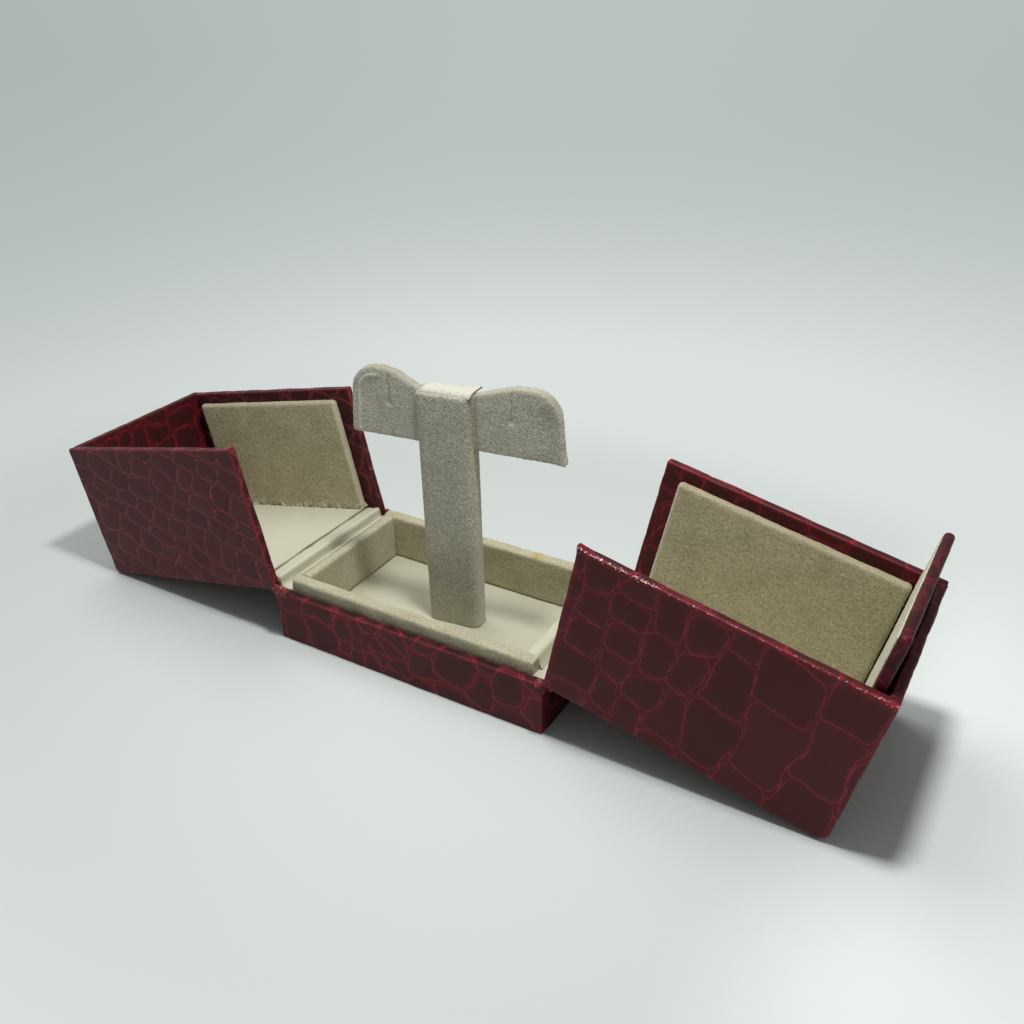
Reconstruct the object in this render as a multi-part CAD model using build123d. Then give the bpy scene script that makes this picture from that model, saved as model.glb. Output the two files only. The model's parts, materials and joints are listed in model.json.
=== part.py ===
from build123d import *
import math
import os

# A double-door presentation box: a shallow tray with a flocked display stand, and two
# half lids that swing outwards on leatherette hinges at the tray's ends and rest on the table.
# Millimetres. Origin: centre of the underside. +X along the box, -Y is the front, +Z up.

# Outside of the closed box
box_length = 70.0
box_width = 42.4
hinge_height = 12.8
lid_height = 59.3

# Sheet goods
board = 1.3
wrap = 0.35
edge_round = 0.3

# Gaps that let the lids close
lid_seat_gap = 0.3
mating_gap = 0.3
hinge_relief = 0.5
running_gap = 0.3

# Tray
underside_paper = 0.35
floor_board = 1.65
insert_board = 1.75
floor_lining = 0.35
hinge_fold_radius = 0.35

# Flocked rims inside the tray
rim_rise = 3.0
rim_thickness = 2.9
flock = 0.6
rim_crown = 1.0
end_rim_thickness = 2.4
end_ledge = 1.5
rim_end_lap = 0.4
ledge_lining = 0.3

# Lid interior
end_card = 0.5
hinge_lining = 0.3
crease_height = 4.4
pad_board = 1.2
pad_flock = 0.8
pad_crown = 0.6
pad_base_margin = 4.3
pad_mating_margin = 2.6
pad_end_gap = 0.2
tongue_gap = 0.3

# Closing tongue under the right lid's top
tongue_reach = 11.0
tongue_flock = 0.65
tongue_back_gap = 0.8
tongue_tab_length = 16.0

# Display stand
stand_x = 0.5
stand_y = 0.55
stand_turn_angle = 6.9
post_width = 12.9
post_depth = 5.2
post_corner = 1.8
post_height = 57.1
sleeve = 0.5
post_cap = 0.4
card = 1.0
card_flock = 0.65
wing_bottom = 12.1
wing_left_reach = 21.7
wing_right_reach = 25.4
wing_tip_flare = 1.2
wing_left_rise = 3.3
wing_right_rise = 3.0
wing_left_peak = 12.6
wing_right_peak = 16.0
wing_shoulder = 6.0
wing_peak_round = 9.0
wing_shoulder_share = 0.66
slit_left_offset = 13.1
slit_right_offset = 15.3
slit_width = 0.5
slit_depth = 7.2
slit_hole = 1.4

# Derived sizes shared by several pieces
half_length = box_length / 2
half_width = box_width / 2
wall = board + 2 * wrap
inner_half_width = half_width - wall
tray_wall_top = hinge_height - lid_seat_gap / 2
tray_board_top = tray_wall_top - wrap
board_bottom = underside_paper
floor_board_top = board_bottom + floor_board
insert_top = floor_board_top + insert_board
floor_top = insert_top + floor_lining
rim_top = hinge_height + rim_rise
rim_outer_y = inner_half_width - running_gap
end_rim_outer_x = half_length - wall - end_ledge
long_rim_half_length = end_rim_outer_x + rim_end_lap
lid_reach = half_length - mating_gap / 2
lid_open_angle = math.degrees(math.acos(-hinge_height / lid_height))
lid_edge = lid_seat_gap / 2
top_inside = lid_height - wall
tongue_outer = top_inside - tongue_back_gap
tongue_inner = tongue_outer - wrap - board - tongue_flock
tongue_tip = lid_reach + tongue_reach
tongue_half_width = inner_half_width - running_gap
pad_top = tongue_inner - tongue_gap
pad_face = inner_half_width - pad_board - pad_flock
stand_base = floor_top
post_top = stand_base + post_height
card_bottom = post_top - wing_bottom


# Names of the long sides and of the ends, with the side of the origin they lie on
LONG_SIDES = (("front", -1), ("back", 1))
ENDS = (("left", -1), ("right", 1))


def block(x, y, z):
    """A box from three (low, high) pairs."""
    centre = [(low + high) / 2 for low, high in (x, y, z)]
    size = [high - low for low, high in (x, y, z)]
    return Pos(*centre) * Box(*size)


def rounded(solid, axis, keep, radius):
    """Round the edges of a block along one axis whose middles pass the test."""
    edges = [edge for edge in solid.edges().filter_by(axis) if keep(edge.center())]
    return fillet(edges, radius)


def save(node, *pieces):
    """Write one named node; several pieces stay separate solids in it."""
    solids = [solid for piece in pieces for solid in piece.solids()]
    shape = solids[0] if len(solids) == 1 else Compound(children=solids)
    shape.label = node
    export_step(shape, f"parts/{node}.step")


def signed(side, near, far):
    """The span from near to far on one side of zero, lowest value first."""
    return sorted((side * near, side * far))


# ---------------------------------------------------------------- tray

def tray_boards():
    """Floor, long walls and end walls of the tray, all butt-jointed board."""
    end_inner = half_length - wall
    board_inner_y = inner_half_width + wrap
    save("base_floor_board", block(
        (-end_inner, end_inner),
        (-board_inner_y, board_inner_y),
        (board_bottom, floor_board_top)))
    for name, side in LONG_SIDES:
        save(f"base_{name}_board", block(
            (-half_length + wrap, half_length - wrap),
            signed(side, board_inner_y, half_width - wrap),
            (board_bottom, tray_board_top)))
    for name, side in ENDS:
        save(f"base_{name}_end_board", block(
            signed(side, end_inner, half_length - wrap),
            (-board_inner_y, board_inner_y),
            (board_bottom, tray_board_top)))


def tray_wrap():
    """Leatherette panels round the tray, with the long edges turned over and in."""
    for name, side in LONG_SIDES:
        outer = block(
            (-half_length, half_length),
            signed(side, half_width - wrap, half_width),
            (0, tray_wall_top))
        outer = rounded(outer, Axis.Z, lambda c: abs(c.Y) > half_width - wrap / 2, edge_round)
        over = block(
            (-half_length + wrap, half_length - wrap),
            signed(side, inner_half_width, half_width - wrap),
            (tray_board_top, tray_wall_top))
        inner = block(
            (-half_length + wall, half_length - wall),
            signed(side, inner_half_width, inner_half_width + wrap),
            (floor_board_top, tray_board_top))
        save(f"base_{name}_wrap", outer, over, inner)
    for name, side in ENDS:
        save(f"base_{name}_end_wrap", block(
            signed(side, half_length - wrap, half_length),
            (-half_width + wrap, half_width - wrap),
            (0, hinge_height - hinge_relief)))


def tray_lining():
    """Underside paper, raised insert floor and its smooth lining."""
    save("underside_paper", block(
        (-half_length + wrap, half_length - wrap),
        (-half_width + wrap, half_width - wrap),
        (0, underside_paper)))
    inset_x = half_length - wall
    inset_y = inner_half_width
    save("insert_floor_board", block(
        (-inset_x, inset_x), (-inset_y, inset_y), (floor_board_top, insert_top)))
    save("floor_lining", block((-inset_x, inset_x), (-inset_y, inset_y), (insert_top, floor_top)))


def rim_pair(length, thickness, crown):
    """A flock-covered strip along X, standing on z = 0 and centred on y = 0: (core, cover)."""
    height = rim_top - floor_top
    outer = block((-length / 2, length / 2), (-thickness / 2, thickness / 2), (0, height))
    outer = rounded(outer, Axis.X, lambda c: c.Z > height / 2, crown)
    inner_half = thickness / 2 - flock
    core = block((-length / 2, length / 2), (-inner_half, inner_half), (0, height - flock))
    return core, outer - core


def tray_rims():
    """Four flocked strips stand on the floor lining and locate the closed lids."""
    long_y = rim_outer_y - rim_thickness / 2
    long_pair = rim_pair(2 * long_rim_half_length, rim_thickness, rim_crown)
    end_length = 2 * (rim_outer_y - rim_thickness)
    end_x = end_rim_outer_x - ledge_lining - end_rim_thickness / 2
    end_pair = rim_pair(end_length, end_rim_thickness, min(rim_crown, end_rim_thickness / 2 - edge_round))
    places = [(name, long_pair, Pos(0, side * long_y, floor_top)) for name, side in LONG_SIDES]
    places += [(name, end_pair, Location((side * end_x, 0, floor_top), (0, 0, 90))) for name, side in ENDS]
    for name, pair, place in places:
        save(f"{name}_rim_flock", place * pair[1])
    save("rim_cores", *[place * pair[0] for name, pair, place in places])


def tray_ends():
    """Smooth lining over each end wall and up the end rim, and the leatherette hinge fold."""
    between_rims = rim_outer_y - rim_thickness
    ledge_z = (tray_board_top, tray_board_top + ledge_lining)
    for name, side in ENDS:
        ledge = block(
            signed(side, long_rim_half_length, half_length - wrap), (-rim_outer_y, rim_outer_y), ledge_z)
        tab = block(
            signed(side, end_rim_outer_x, long_rim_half_length), (-between_rims, between_rims), ledge_z)
        upright = block(
            signed(side, end_rim_outer_x - ledge_lining, end_rim_outer_x),
            (-between_rims, between_rims),
            (tray_board_top, rim_top - edge_round))
        save(f"{name}_ledge_lining", ledge + tab + upright)
        fold = Cylinder(hinge_fold_radius, 2 * (half_width - wall / 2), rotation=(90, 0, 0))
        save(f"{name}_hinge_fold", Pos(side * half_length, 0, hinge_height) * fold)


# ---------------------------------------------------------------- lids

def lid_block(side, up, depth, y):
    """A block of a closed lid: up from the hinge line, depth in from the end face, y across."""
    x = signed(side, half_length - depth[0], half_length - depth[1])
    return block(x, y, (hinge_height + up[0], hinge_height + up[1]))


def save_lid(side, node, *pieces):
    """Swing a closed lid's pieces out until its outer corner is on the table, and save them."""
    hinge = Axis((side * half_length, 0, hinge_height), (0, 1, 0))
    name = "left" if side < 0 else "right"
    save(f"{name}_lid_{node}", *[piece.rotate(hinge, side * lid_open_angle) for piece in pieces])


def lid_boards(side):
    """End, top and long boards of one half lid."""
    board_inner_y = inner_half_width + wrap
    across = (-board_inner_y, board_inner_y)
    board_top = lid_height - wrap
    save_lid(side, "end_board", lid_block(side, (hinge_relief, board_top), (wrap, wall), across))
    save_lid(side, "top_board", lid_block(
        side, (top_inside + wrap, board_top), (wall, lid_reach - wrap), across))
    for name, outward in LONG_SIDES:
        save_lid(side, f"{name}_board", lid_block(
            side,
            (lid_edge + wrap, board_top),
            (wrap, lid_reach - wrap),
            signed(outward, board_inner_y, half_width - wrap)))


def lid_long_wraps(side):
    """Outer panel, inner turn-in and folded edges on the two long sides of a lid."""
    for name, outward in LONG_SIDES:
        outer = lid_block(
            side, (lid_edge, lid_height), (0, lid_reach),
            signed(outward, half_width - wrap, half_width))
        outer = rounded(outer, Axis.Z, lambda c: abs(c.Y) > half_width - wrap / 2, edge_round)
        fold = signed(outward, inner_half_width + wrap, half_width - wrap)
        inner = lid_block(
            side, (lid_edge, top_inside), (wall, lid_reach),
            signed(outward, inner_half_width, inner_half_width + wrap))
        mating = lid_block(
            side, (lid_edge + wrap, lid_height - wrap), (lid_reach - wrap, lid_reach), fold)
        foot = lid_block(side, (lid_edge, lid_edge + wrap), (wrap, lid_reach), fold)
        save_lid(side, f"{name}_wrap", outer, inner, mating, foot)


def lid_end_and_top_wraps(side):
    """Leatherette on the end, and on both faces and the mating edge of the top."""
    outer_y = (-half_width + wrap, half_width - wrap)
    inner_y = (-inner_half_width - wrap, inner_half_width + wrap)
    save_lid(side, "end_wrap", lid_block(side, (hinge_relief, lid_height), (0, wrap), outer_y))
    top = lid_block(side, (lid_height - wrap, lid_height), (wrap, lid_reach), outer_y)
    fold = lid_block(side, (top_inside, lid_height - wrap), (lid_reach - wrap, lid_reach), inner_y)
    lining = lid_block(side, (top_inside, top_inside + wrap), (wall, lid_reach - wrap), inner_y)
    save_lid(side, "top_wrap", top, fold, lining)


def lid_linings(side):
    """Smooth card on the end wall, and the lining from its crease down to the hinge."""
    lining_half = inner_half_width - running_gap
    y = (-lining_half, lining_half)
    save_lid(side, "end_card", lid_block(
        side, (crease_height, top_inside - running_gap), (wall, wall + end_card), y))
    face = lid_block(side, (hinge_relief, crease_height), (wall, wall + hinge_lining), y)
    foot = lid_block(
        side, (hinge_relief - hinge_lining, hinge_relief), (wrap, wall + hinge_lining), y)
    save_lid(side, "hinge_lining", face + foot)


def lid_pads(side):
    """Flocked pads on the inside of the two long walls."""
    depth = (wall + end_card + pad_end_gap, lid_reach - pad_mating_margin)
    for name, outward in LONG_SIDES:
        core = lid_block(
            side,
            (pad_base_margin + pad_flock, pad_top - pad_flock),
            (depth[0] + pad_flock, depth[1] - pad_flock),
            signed(outward, pad_face + pad_flock, inner_half_width))
        whole = lid_block(
            side, (pad_base_margin, pad_top), depth, signed(outward, pad_face, inner_half_width))
        soft_edges = [edge for edge in whole.edges() if abs(edge.center().Y) < pad_face + pad_flock / 2]
        save_lid(side, f"{name}_pad_board", core)
        save_lid(side, f"{name}_pad_flock", fillet(soft_edges, pad_crown) - core)


def closing_tongue():
    """A covered board under the right lid's top that tucks into the left lid."""
    depth = (wall + end_card, tongue_tip - wrap)
    half = tongue_half_width - wrap
    edge_y = signed(-1, half, tongue_half_width), signed(1, half, tongue_half_width)
    save_lid(1, "tongue_board", lid_block(
        1, (tongue_inner + tongue_flock, tongue_outer - wrap), depth, (-half, half)))
    save_lid(1, "tongue_flock", lid_block(
        1, (tongue_inner, tongue_inner + tongue_flock), depth, (-half, half)))
    back = lid_block(1, (tongue_outer - wrap, tongue_outer), depth, (-half, half))
    edges = [lid_block(1, (tongue_inner, tongue_outer), (depth[0], tongue_tip), y) for y in edge_y]
    tip = lid_block(1, (tongue_inner, tongue_outer), (depth[1], tongue_tip), (-half, half))
    save_lid(1, "tongue_wrap", back, *edges, tip)
    save_lid(1, "tongue_tab", lid_block(
        1, (tongue_outer, top_inside), (depth[0], depth[0] + tongue_tab_length), (-half, half)))


# ---------------------------------------------------------------- display stand

def on_stand(shape):
    """Put a piece made about the post's own axis where the post stands in the tray."""
    return Location((stand_x, stand_y, 0), (0, 0, stand_turn_angle)) * shape


def corner(face, x, z):
    """The corner of a face drawn in the XY plane at the given point."""
    return face.vertices().sort_by_distance((x, z, 0))[0]


def shoulder_radius(reach, peak):
    """A wing's shoulder, as round as the run beside it leaves room for."""
    return min(wing_shoulder, wing_shoulder_share * (reach - peak))


def stand_outline():
    """Face of the two wings and the neck between them, X across and Y up."""
    left_peak = post_top + wing_left_rise
    right_peak = post_top + wing_right_rise
    points = [
        (-wing_left_reach - wing_tip_flare, card_bottom),
        (-wing_left_reach, left_peak),
        (-wing_left_peak, left_peak),
        (-post_width / 2, post_top),
        (post_width / 2, post_top),
        (wing_right_peak, right_peak),
        (wing_right_reach, right_peak),
        (wing_right_reach + wing_tip_flare, card_bottom),
    ]
    face = make_face(Polyline(*points, close=True))
    peaks = [corner(face, *points[2]), corner(face, *points[5])]
    face = fillet(peaks, wing_peak_round)
    face = fillet(corner(face, *points[1]), shoulder_radius(wing_left_reach, wing_left_peak))
    return fillet(corner(face, *points[6]), shoulder_radius(wing_right_reach, wing_right_peak))


def winged_layer(outline, y):
    """The winged outline between two depths, with its two slits for ear wires."""
    thickness = y[1] - y[0]
    layer = Pos(0, y[1], 0) * extrude(Plane.XZ * outline, thickness)
    slit_top = post_top + max(wing_left_rise, wing_right_rise) + slit_width
    slit_foot = post_top + min(wing_left_rise, wing_right_rise) - slit_depth
    for x in (-slit_left_offset, slit_right_offset):
        layer -= block((x - slit_width / 2, x + slit_width / 2), y, (slit_foot, slit_top))
        hole = Cylinder(slit_hole / 2, thickness, rotation=(90, 0, 0))
        layer -= Pos(x, (y[0] + y[1]) / 2, slit_foot) * hole
    return layer


def display_stand():
    """Post with a flocked sleeve, and the winged card through its upper end."""
    front = -card / 2 - card_flock
    middle = (front + card_flock, front + card_flock + card)
    back = middle[1] + card_flock
    slot = block((-post_width, post_width), (front, back), (card_bottom, post_top))
    profile = RectangleRounded(post_width, post_depth, post_corner)
    inner_profile = RectangleRounded(
        post_width - 2 * sleeve, post_depth - 2 * sleeve, post_corner - sleeve)
    foot = Pos(0, 0, stand_base)
    save("post_core", on_stand(foot * extrude(inner_profile, post_height) - slot))
    save("post_sleeve", on_stand(foot * extrude(profile - inner_profile, post_height) - slot))
    save("post_cap", on_stand(Pos(0, 0, post_top) * extrude(profile, post_cap)))
    outline = stand_outline()
    save("earring_card", on_stand(winged_layer(outline, middle)))
    save("earring_card_front_flock", on_stand(winged_layer(outline, (front, middle[0]))))
    save("earring_card_back_flock", on_stand(winged_layer(outline, (middle[1], back))))


os.makedirs("parts", exist_ok=True)
tray_boards()
tray_wrap()
tray_lining()
tray_rims()
tray_ends()
for lid_side in (-1, 1):
    lid_boards(lid_side)
    lid_long_wraps(lid_side)
    lid_end_and_top_wraps(lid_side)
    lid_linings(lid_side)
    lid_pads(lid_side)
closing_tongue()
display_stand()
print("lid opens by", round(lid_open_angle, 3), "degrees")
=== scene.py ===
import json
import math

import bpy
import numpy as np
from mathutils import Matrix, Vector


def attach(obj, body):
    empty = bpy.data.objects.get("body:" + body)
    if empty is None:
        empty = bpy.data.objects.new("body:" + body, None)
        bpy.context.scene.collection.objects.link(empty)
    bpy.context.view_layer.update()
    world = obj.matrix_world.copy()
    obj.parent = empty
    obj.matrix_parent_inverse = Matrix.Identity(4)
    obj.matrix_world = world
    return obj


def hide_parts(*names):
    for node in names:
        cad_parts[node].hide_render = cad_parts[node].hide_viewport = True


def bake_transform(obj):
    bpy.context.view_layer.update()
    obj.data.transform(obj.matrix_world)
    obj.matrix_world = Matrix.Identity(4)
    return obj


# A presentation box with two half lids that open outwards, dressed in embossed leatherette,
# flock and smooth lining. Pieces are drawn in millimetres as the closed box has them, and
# then laid open with the body that they ride on.

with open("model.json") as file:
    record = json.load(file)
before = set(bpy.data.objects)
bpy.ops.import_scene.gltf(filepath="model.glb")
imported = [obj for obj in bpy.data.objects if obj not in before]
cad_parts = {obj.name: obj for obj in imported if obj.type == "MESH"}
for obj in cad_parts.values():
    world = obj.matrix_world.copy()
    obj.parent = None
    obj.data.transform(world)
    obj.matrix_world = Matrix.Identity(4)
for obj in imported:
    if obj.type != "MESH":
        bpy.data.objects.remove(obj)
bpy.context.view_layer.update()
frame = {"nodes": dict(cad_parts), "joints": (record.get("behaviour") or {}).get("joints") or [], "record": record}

MM = 0.001
BODY_OF = {node: body for body, nodes in frame["record"]["behaviour"]["bodies"].items() for node in nodes}
SIDES = (("left", -1), ("right", 1))
LONG_SIDES = (("front", -1), ("back", 1))

# Faces of a block, each an axis and a sign.
LEFT, RIGHT = (0, -1), (0, 1)
FRONT, BACK = (1, -1), (1, 1)
FOOT, TOP = (2, -1), (2, 1)


# ---------------------------------------------------------------- places and sizes from the frame

def closing(body):
    """Turns a lid from where it lies open to where it stands closed; leaves the tray as it is."""
    for joint in frame["joints"]:
        if joint["child"] == body:
            pin = Matrix.Translation(joint["pos_m"])
            turn = Matrix.Rotation(math.radians(joint["range_deg"][1]), 4, Vector(joint["axis"]))
            return pin @ turn @ pin.inverted()
    return Matrix.Identity(4)


def carried(points, matrix):
    """Points moved by a matrix."""
    turn = np.array(matrix)
    return points @ turn[:3, :3].T + turn[:3, 3]


def corners_of(node):
    """A CAD node's points in millimetres, with its lid closed."""
    mesh = frame["nodes"][node].data
    points = np.empty(len(mesh.vertices) * 3, np.float32)
    mesh.vertices.foreach_get("co", points)
    return carried(points.reshape(-1, 3).astype(float), closing(BODY_OF[node])) / MM


def span(*nodes):
    """Lowest and highest corner of CAD nodes in millimetres, with their lid closed."""
    points = np.concatenate([corners_of(node) for node in nodes])
    return points.min(0), points.max(0)


HALF_LENGTH, HALF_WIDTH, TRAY_TOP = span("base_front_wrap", "base_back_wrap")[1]
lid_low, lid_high = span("right_lid_front_wrap", "right_lid_back_wrap")
HINGE_Z = frame["joints"][0]["pos_m"][2] / MM
LID_TOP = lid_high[2]
LID_RISE = LID_TOP - HINGE_Z
LID_REACH = HALF_LENGTH - lid_low[0]
WALL = HALF_WIDTH - abs(span("base_front_wrap")[1][1])

# Sizes that the finishes add, in millimetres.
OVERLAP = 0.02              # how far a wall's leatherette runs into the next wall's
LID_EDGE = 0.5              # radius of the lids' leatherette-covered edges
TRAY_EDGE = 0.45            # radius of the tray's
CORNER_WEAR = 1.25          # radius of a lid's outer corner, which stands on the table
FRONT_WEAR = 1.3            # how much larger it is at the right lid's front end
FRONT_WEAR_FADE = 3.0       # over what length that fades
LINING = 0.3                # thickness of the lining that bends over a hinge line
FOLD = 0.26                 # thickness of the leatherette folded over a hinge line
FOLD_PROUD = 0.15           # how far the middle of that fold lies outside the walls
KNOT = (4.4, 3.2)           # width and height of the bunched knot at the left front
SMALL_KNOT = tuple(0.54 * size for size in KNOT)        # and of the other three
MITRE = 3.2                 # how far up the joint of two turn-ins shows in the right lid's back
POST_RIM = 1.0              # radius of the rim of the post's top
POST_SIDE = 7.2             # how far from the stand's middle its wings meet the post
SLIT_RANGE = (11, 18)       # distances from the stand's middle between which each slit lies
WELT_FROM = 14              # distance from the stand's middle at which the left wing's welt starts
WELT_INSET = 1.7            # how far inside the rim that welt runs
CAP_SHEET = 0.22            # thickness of the sheet over the post's top
RIM_DROP = 0.25             # how far the right rim's flock lies lower, under its lining
RIM_GAP = 0.45              # distance from an end rim to the lining on the ledge beside it
EDGE_WEAR = 0.28            # how far the wear spreads from a turned edge
BLOT = 12.5                 # how far right of its middle the back rim is stained
FULL_SCALE = 5.0            # spacing of scales from which each one has its full outline
GRID = 0.34                 # spacing of the lid walls' points
TRAY_GRID = 0.3             # and of the tray walls'

# Wear, and painted shade inside, that differ between the lids, by a lid's side.
PEAK = {-1: 0.55, 1: 0.75}              # how far the front foot of a mating edge is pulled out
CRUMPLE = {-1: 0.5, 1: 1.6}             # how crumpled the front mating edge is below the top
INNER_SHADE = {-1: 0.5, 1: 0.25}        # how much painted shade darkens the leatherette inside
# How many painted glints a mating edge has, by lid and long side.
EDGE_GLINT = {("left", -1): 0.1, ("left", 1): 0.1, ("right", -1): 1.0, ("right", 1): 0.4}


# ---------------------------------------------------------------- numbers over a surface

def unit(values):
    """Values held between 0 and 1."""
    return np.clip(values, 0, 1)


def near(distance, width):
    """1 at a line or plane, fading over a width."""
    return np.exp(-np.clip(distance, 0, None) / width)


def band(distance, width):
    """1 on a line, fading to both sides of it like a bell."""
    return np.exp(-(distance / width) ** 2)


def sway(points, seed, length, amount):
    """A smooth wandering offset, made of a few long waves."""
    chance = np.random.default_rng(seed)
    total = np.zeros_like(points)
    for _ in range(5):
        heading = chance.normal(size=points.shape[1])
        heading *= 2 * math.pi / (length * chance.uniform(0.7, 1.6) * np.linalg.norm(heading))
        push = chance.normal(size=points.shape[1])
        total += np.outer(np.sin(points @ heading + chance.uniform(0, 7)), push)
    return total * amount / 2.2


def ripple(points, seed, length, amount=1.0):
    """A smooth wandering number, above and below 0."""
    return sway(points, seed, length, amount)[:, 0]


def arced(offsets):
    """Offsets from a corner's middle; those past it are pulled from the square onto its arc."""
    past = (offsets > 0).all(1)
    share = offsets.max(1) / np.maximum(np.linalg.norm(offsets, axis=1), 1e-9)
    offsets[past] *= share[past, None]
    return offsets


# ---------------------------------------------------------------- shader wiring

def tint(red, green, blue):
    """A colour given in 0 to 255 display values, as the shader wants it."""
    shares = (value / 255 for value in (red, green, blue))
    return tuple(s / 12.92 if s < 0.04045 else ((s + 0.055) / 1.055) ** 2.4 for s in shares) + (1.0,)


class Wire:
    """A shader value that adds and scales like a number."""

    def __init__(self, board, socket):
        self.board = board
        self.socket = socket

    def worked(self, operation, *values):
        """A Math node over some values."""
        return self.board.node("Math", {"operation": operation}, dict(enumerate(values)))

    def __add__(self, other):
        return self.worked("ADD", self, other)

    def __sub__(self, other):
        return self.worked("SUBTRACT", self, other)

    def __rsub__(self, other):
        return self.worked("SUBTRACT", other, self)

    def __mul__(self, other):
        return self.worked("MULTIPLY", self, other)

    def __truediv__(self, other):
        return self.worked("DIVIDE", self, other)

    def __rtruediv__(self, other):
        return self.worked("DIVIDE", other, self)

    def __abs__(self):
        return self.worked("ABSOLUTE", self)

    __radd__ = __add__
    __rmul__ = __mul__

    def rising(self, low, high):
        """0 below low, 1 above high, eased between."""
        return self.board.node(
            "MapRange",
            {"interpolation_type": "SMOOTHSTEP"},
            {"Value": self, "From Min": low, "From Max": high})

    def most(self, other):
        """The larger of two values."""
        return self.worked("MAXIMUM", self, other)


class Board:
    """A node tree; node() makes every node of it."""

    def __init__(self, owner):
        owner.use_nodes = True
        self.tree = owner.node_tree
        self.tree.nodes.clear()

    def node(self, kind, settings=(), sockets=(), outlet=0):
        """A node of a kind, with its settings and its sockets' values or links."""
        made = self.tree.nodes.new("ShaderNode" + kind)
        for setting, value in dict(settings).items():
            setattr(made, setting, value)
        for socket, value in dict(sockets).items():
            if isinstance(value, Wire):
                self.tree.links.new(value.socket, made.inputs[socket])
            else:
                made.inputs[socket].default_value = value
        return Wire(self, made.outputs[outlet]) if made.outputs else None

    def mix(self, share, first, second):
        """The first colour where share is 0, the second one where it is 1."""
        return self.node("Mix", {"data_type": "RGBA"}, {0: share, 6: first, 7: second}, outlet=2)

    def seen(self):
        """1 for what the lens sees, by itself or mirrored in a gloss."""
        return self.node("LightPath", outlet=0).most(self.node("LightPath", outlet=3))


class Finish(Board):
    """One procedural material."""

    def __init__(self, name):
        self.material = bpy.data.materials.new(name)
        super().__init__(self.material)

    def spot(self):
        """Where the surface lies on its own piece, in metres."""
        return self.node("TexCoord", outlet=3)

    def drawn(self, name):
        """A number that the mesh carries at each point."""
        return self.node("Attribute", {"attribute_name": name}, outlet=2)

    def noise(self, size, detail=2.0, roughness=0.5):
        """Soft noise from 0 to 1 with features of about size millimetres."""
        return self.node("TexNoise", {}, {
            "Vector": self.spot(), "Scale": 0.5 / (size * MM), "Detail": detail, "Roughness": roughness})

    def bump(self, height, distance, strength):
        """A dent or swell of up to a distance in millimetres, as a normal."""
        return self.node("Bump", {}, {"Height": height, "Distance": distance * MM, "Strength": strength})

    def skin(self, sockets):
        """The surface itself, wired to the output."""
        surface = self.node("BsdfPrincipled", {}, sockets)
        self.node("OutputMaterial", {}, {"Surface": surface})
        return self.material


# ---------------------------------------------------------------- finishes

def leatherette(name, scale, lit_scale, outline, groove, fold, line, strength):
    """Embossed leatherette: satin scales, each inside its own bright outline, a line's width
    in millimetres and so strong. Its meshes carry ridge, the distance inwards from an outline,
    a tone for each scale, fold where an edge is turned and worn, a share of painted shade where
    shade falls, and glint where small bright highlights are painted."""
    hide = Finish(name)
    ridge, folded = hide.drawn("ridge"), hide.drawn("fold")
    grain = hide.noise(0.12, 3.0, 0.6)
    cloud = hide.noise(3.5, 3.0)
    broken = hide.noise(0.9, 3.0, 0.65)
    colour = hide.mix(hide.drawn("tone") * 0.5 + cloud * 0.6, scale, lit_scale)
    # Painted shade, where the mesh carries it.
    colour = hide.mix(hide.drawn("dim"), colour, SHADED_HIDE)
    beside = 1 - abs(ridge).rising(0.05, 1.2)
    colour = hide.mix(beside * 0.5 * broken.rising(0.2, 0.7), colour, groove)
    sunk = 1 - ridge.rising(-0.3, 0.0)
    colour = hide.mix(sunk * (0.15 + 0.5 * broken), colour, groove)
    width = line * (0.45 + 0.8 * broken)
    lines = 1 - (abs(ridge) / width).rising(0.1, 1.0)
    colour = hide.mix(lines * strength * (0.35 + 1.0 * cloud), colour, outline)
    worn = folded * broken.rising(0.42, 0.68)
    colour = hide.mix(folded * 0.25 + worn * 0.5, colour, fold)
    # Painted highlights: small bright specks where the mesh carries glint.
    glint = hide.drawn("glint")
    glint_specks = (hide.noise(0.24, 2.0, 0.7) + 0.15 * glint).rising(0.63, 0.69) * glint.rising(0.02, 0.3)
    colour = hide.mix(glint_specks, colour, PAINTED_GLINT)
    height = 0.4 * ridge.rising(-0.25, 0.3) + 0.1 * grain + folded * broken * 0.5 + lines * 0.12
    return hide.skin({
        "Base Color": colour,
        "Roughness": 0.5 + 0.1 * grain - 0.12 * lines - folded * 0.12,
        "Specular IOR Level": 0.18,
        "Normal": hide.bump(height, 0.1, 0.5)})


def flocking(name, shade, light, speck, stain):
    """Short upright pile: grainy, soft and dull. Its meshes carry pale where the nap is worn and
    where light is painted on it, and a darker share where it is stained and where shade is painted on."""
    pile = Finish(name)
    fine = pile.noise(0.13, 2.0, 0.8)
    tuft = pile.noise(0.24, 3.0, 0.75)
    cloud = pile.noise(4.5, 3.0, 0.6)
    colour = pile.mix(0.7 * fine.rising(0.36, 0.64) + 0.3 * tuft.rising(0.36, 0.64), shade, light)
    colour = pile.mix(cloud.rising(0.4, 0.7) * 0.28, colour, speck)
    colour = pile.mix((1 - tuft.rising(0.3, 0.44)) * 0.3, colour, speck)
    colour = pile.mix(pile.drawn("pale") * (0.35 + 0.7 * tuft), colour, PALE_NAP)
    colour = pile.mix(pile.drawn("stain") * (0.3 + 1.1 * tuft), colour, stain)
    return pile.skin({
        "Base Color": colour,
        "Roughness": 0.96,
        "Specular IOR Level": 0.12,
        "Sheen Weight": 0.22,
        "Sheen Roughness": 0.5,
        "Normal": pile.bump(fine + 0.7 * tuft, 0.14, 0.55)})


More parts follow.
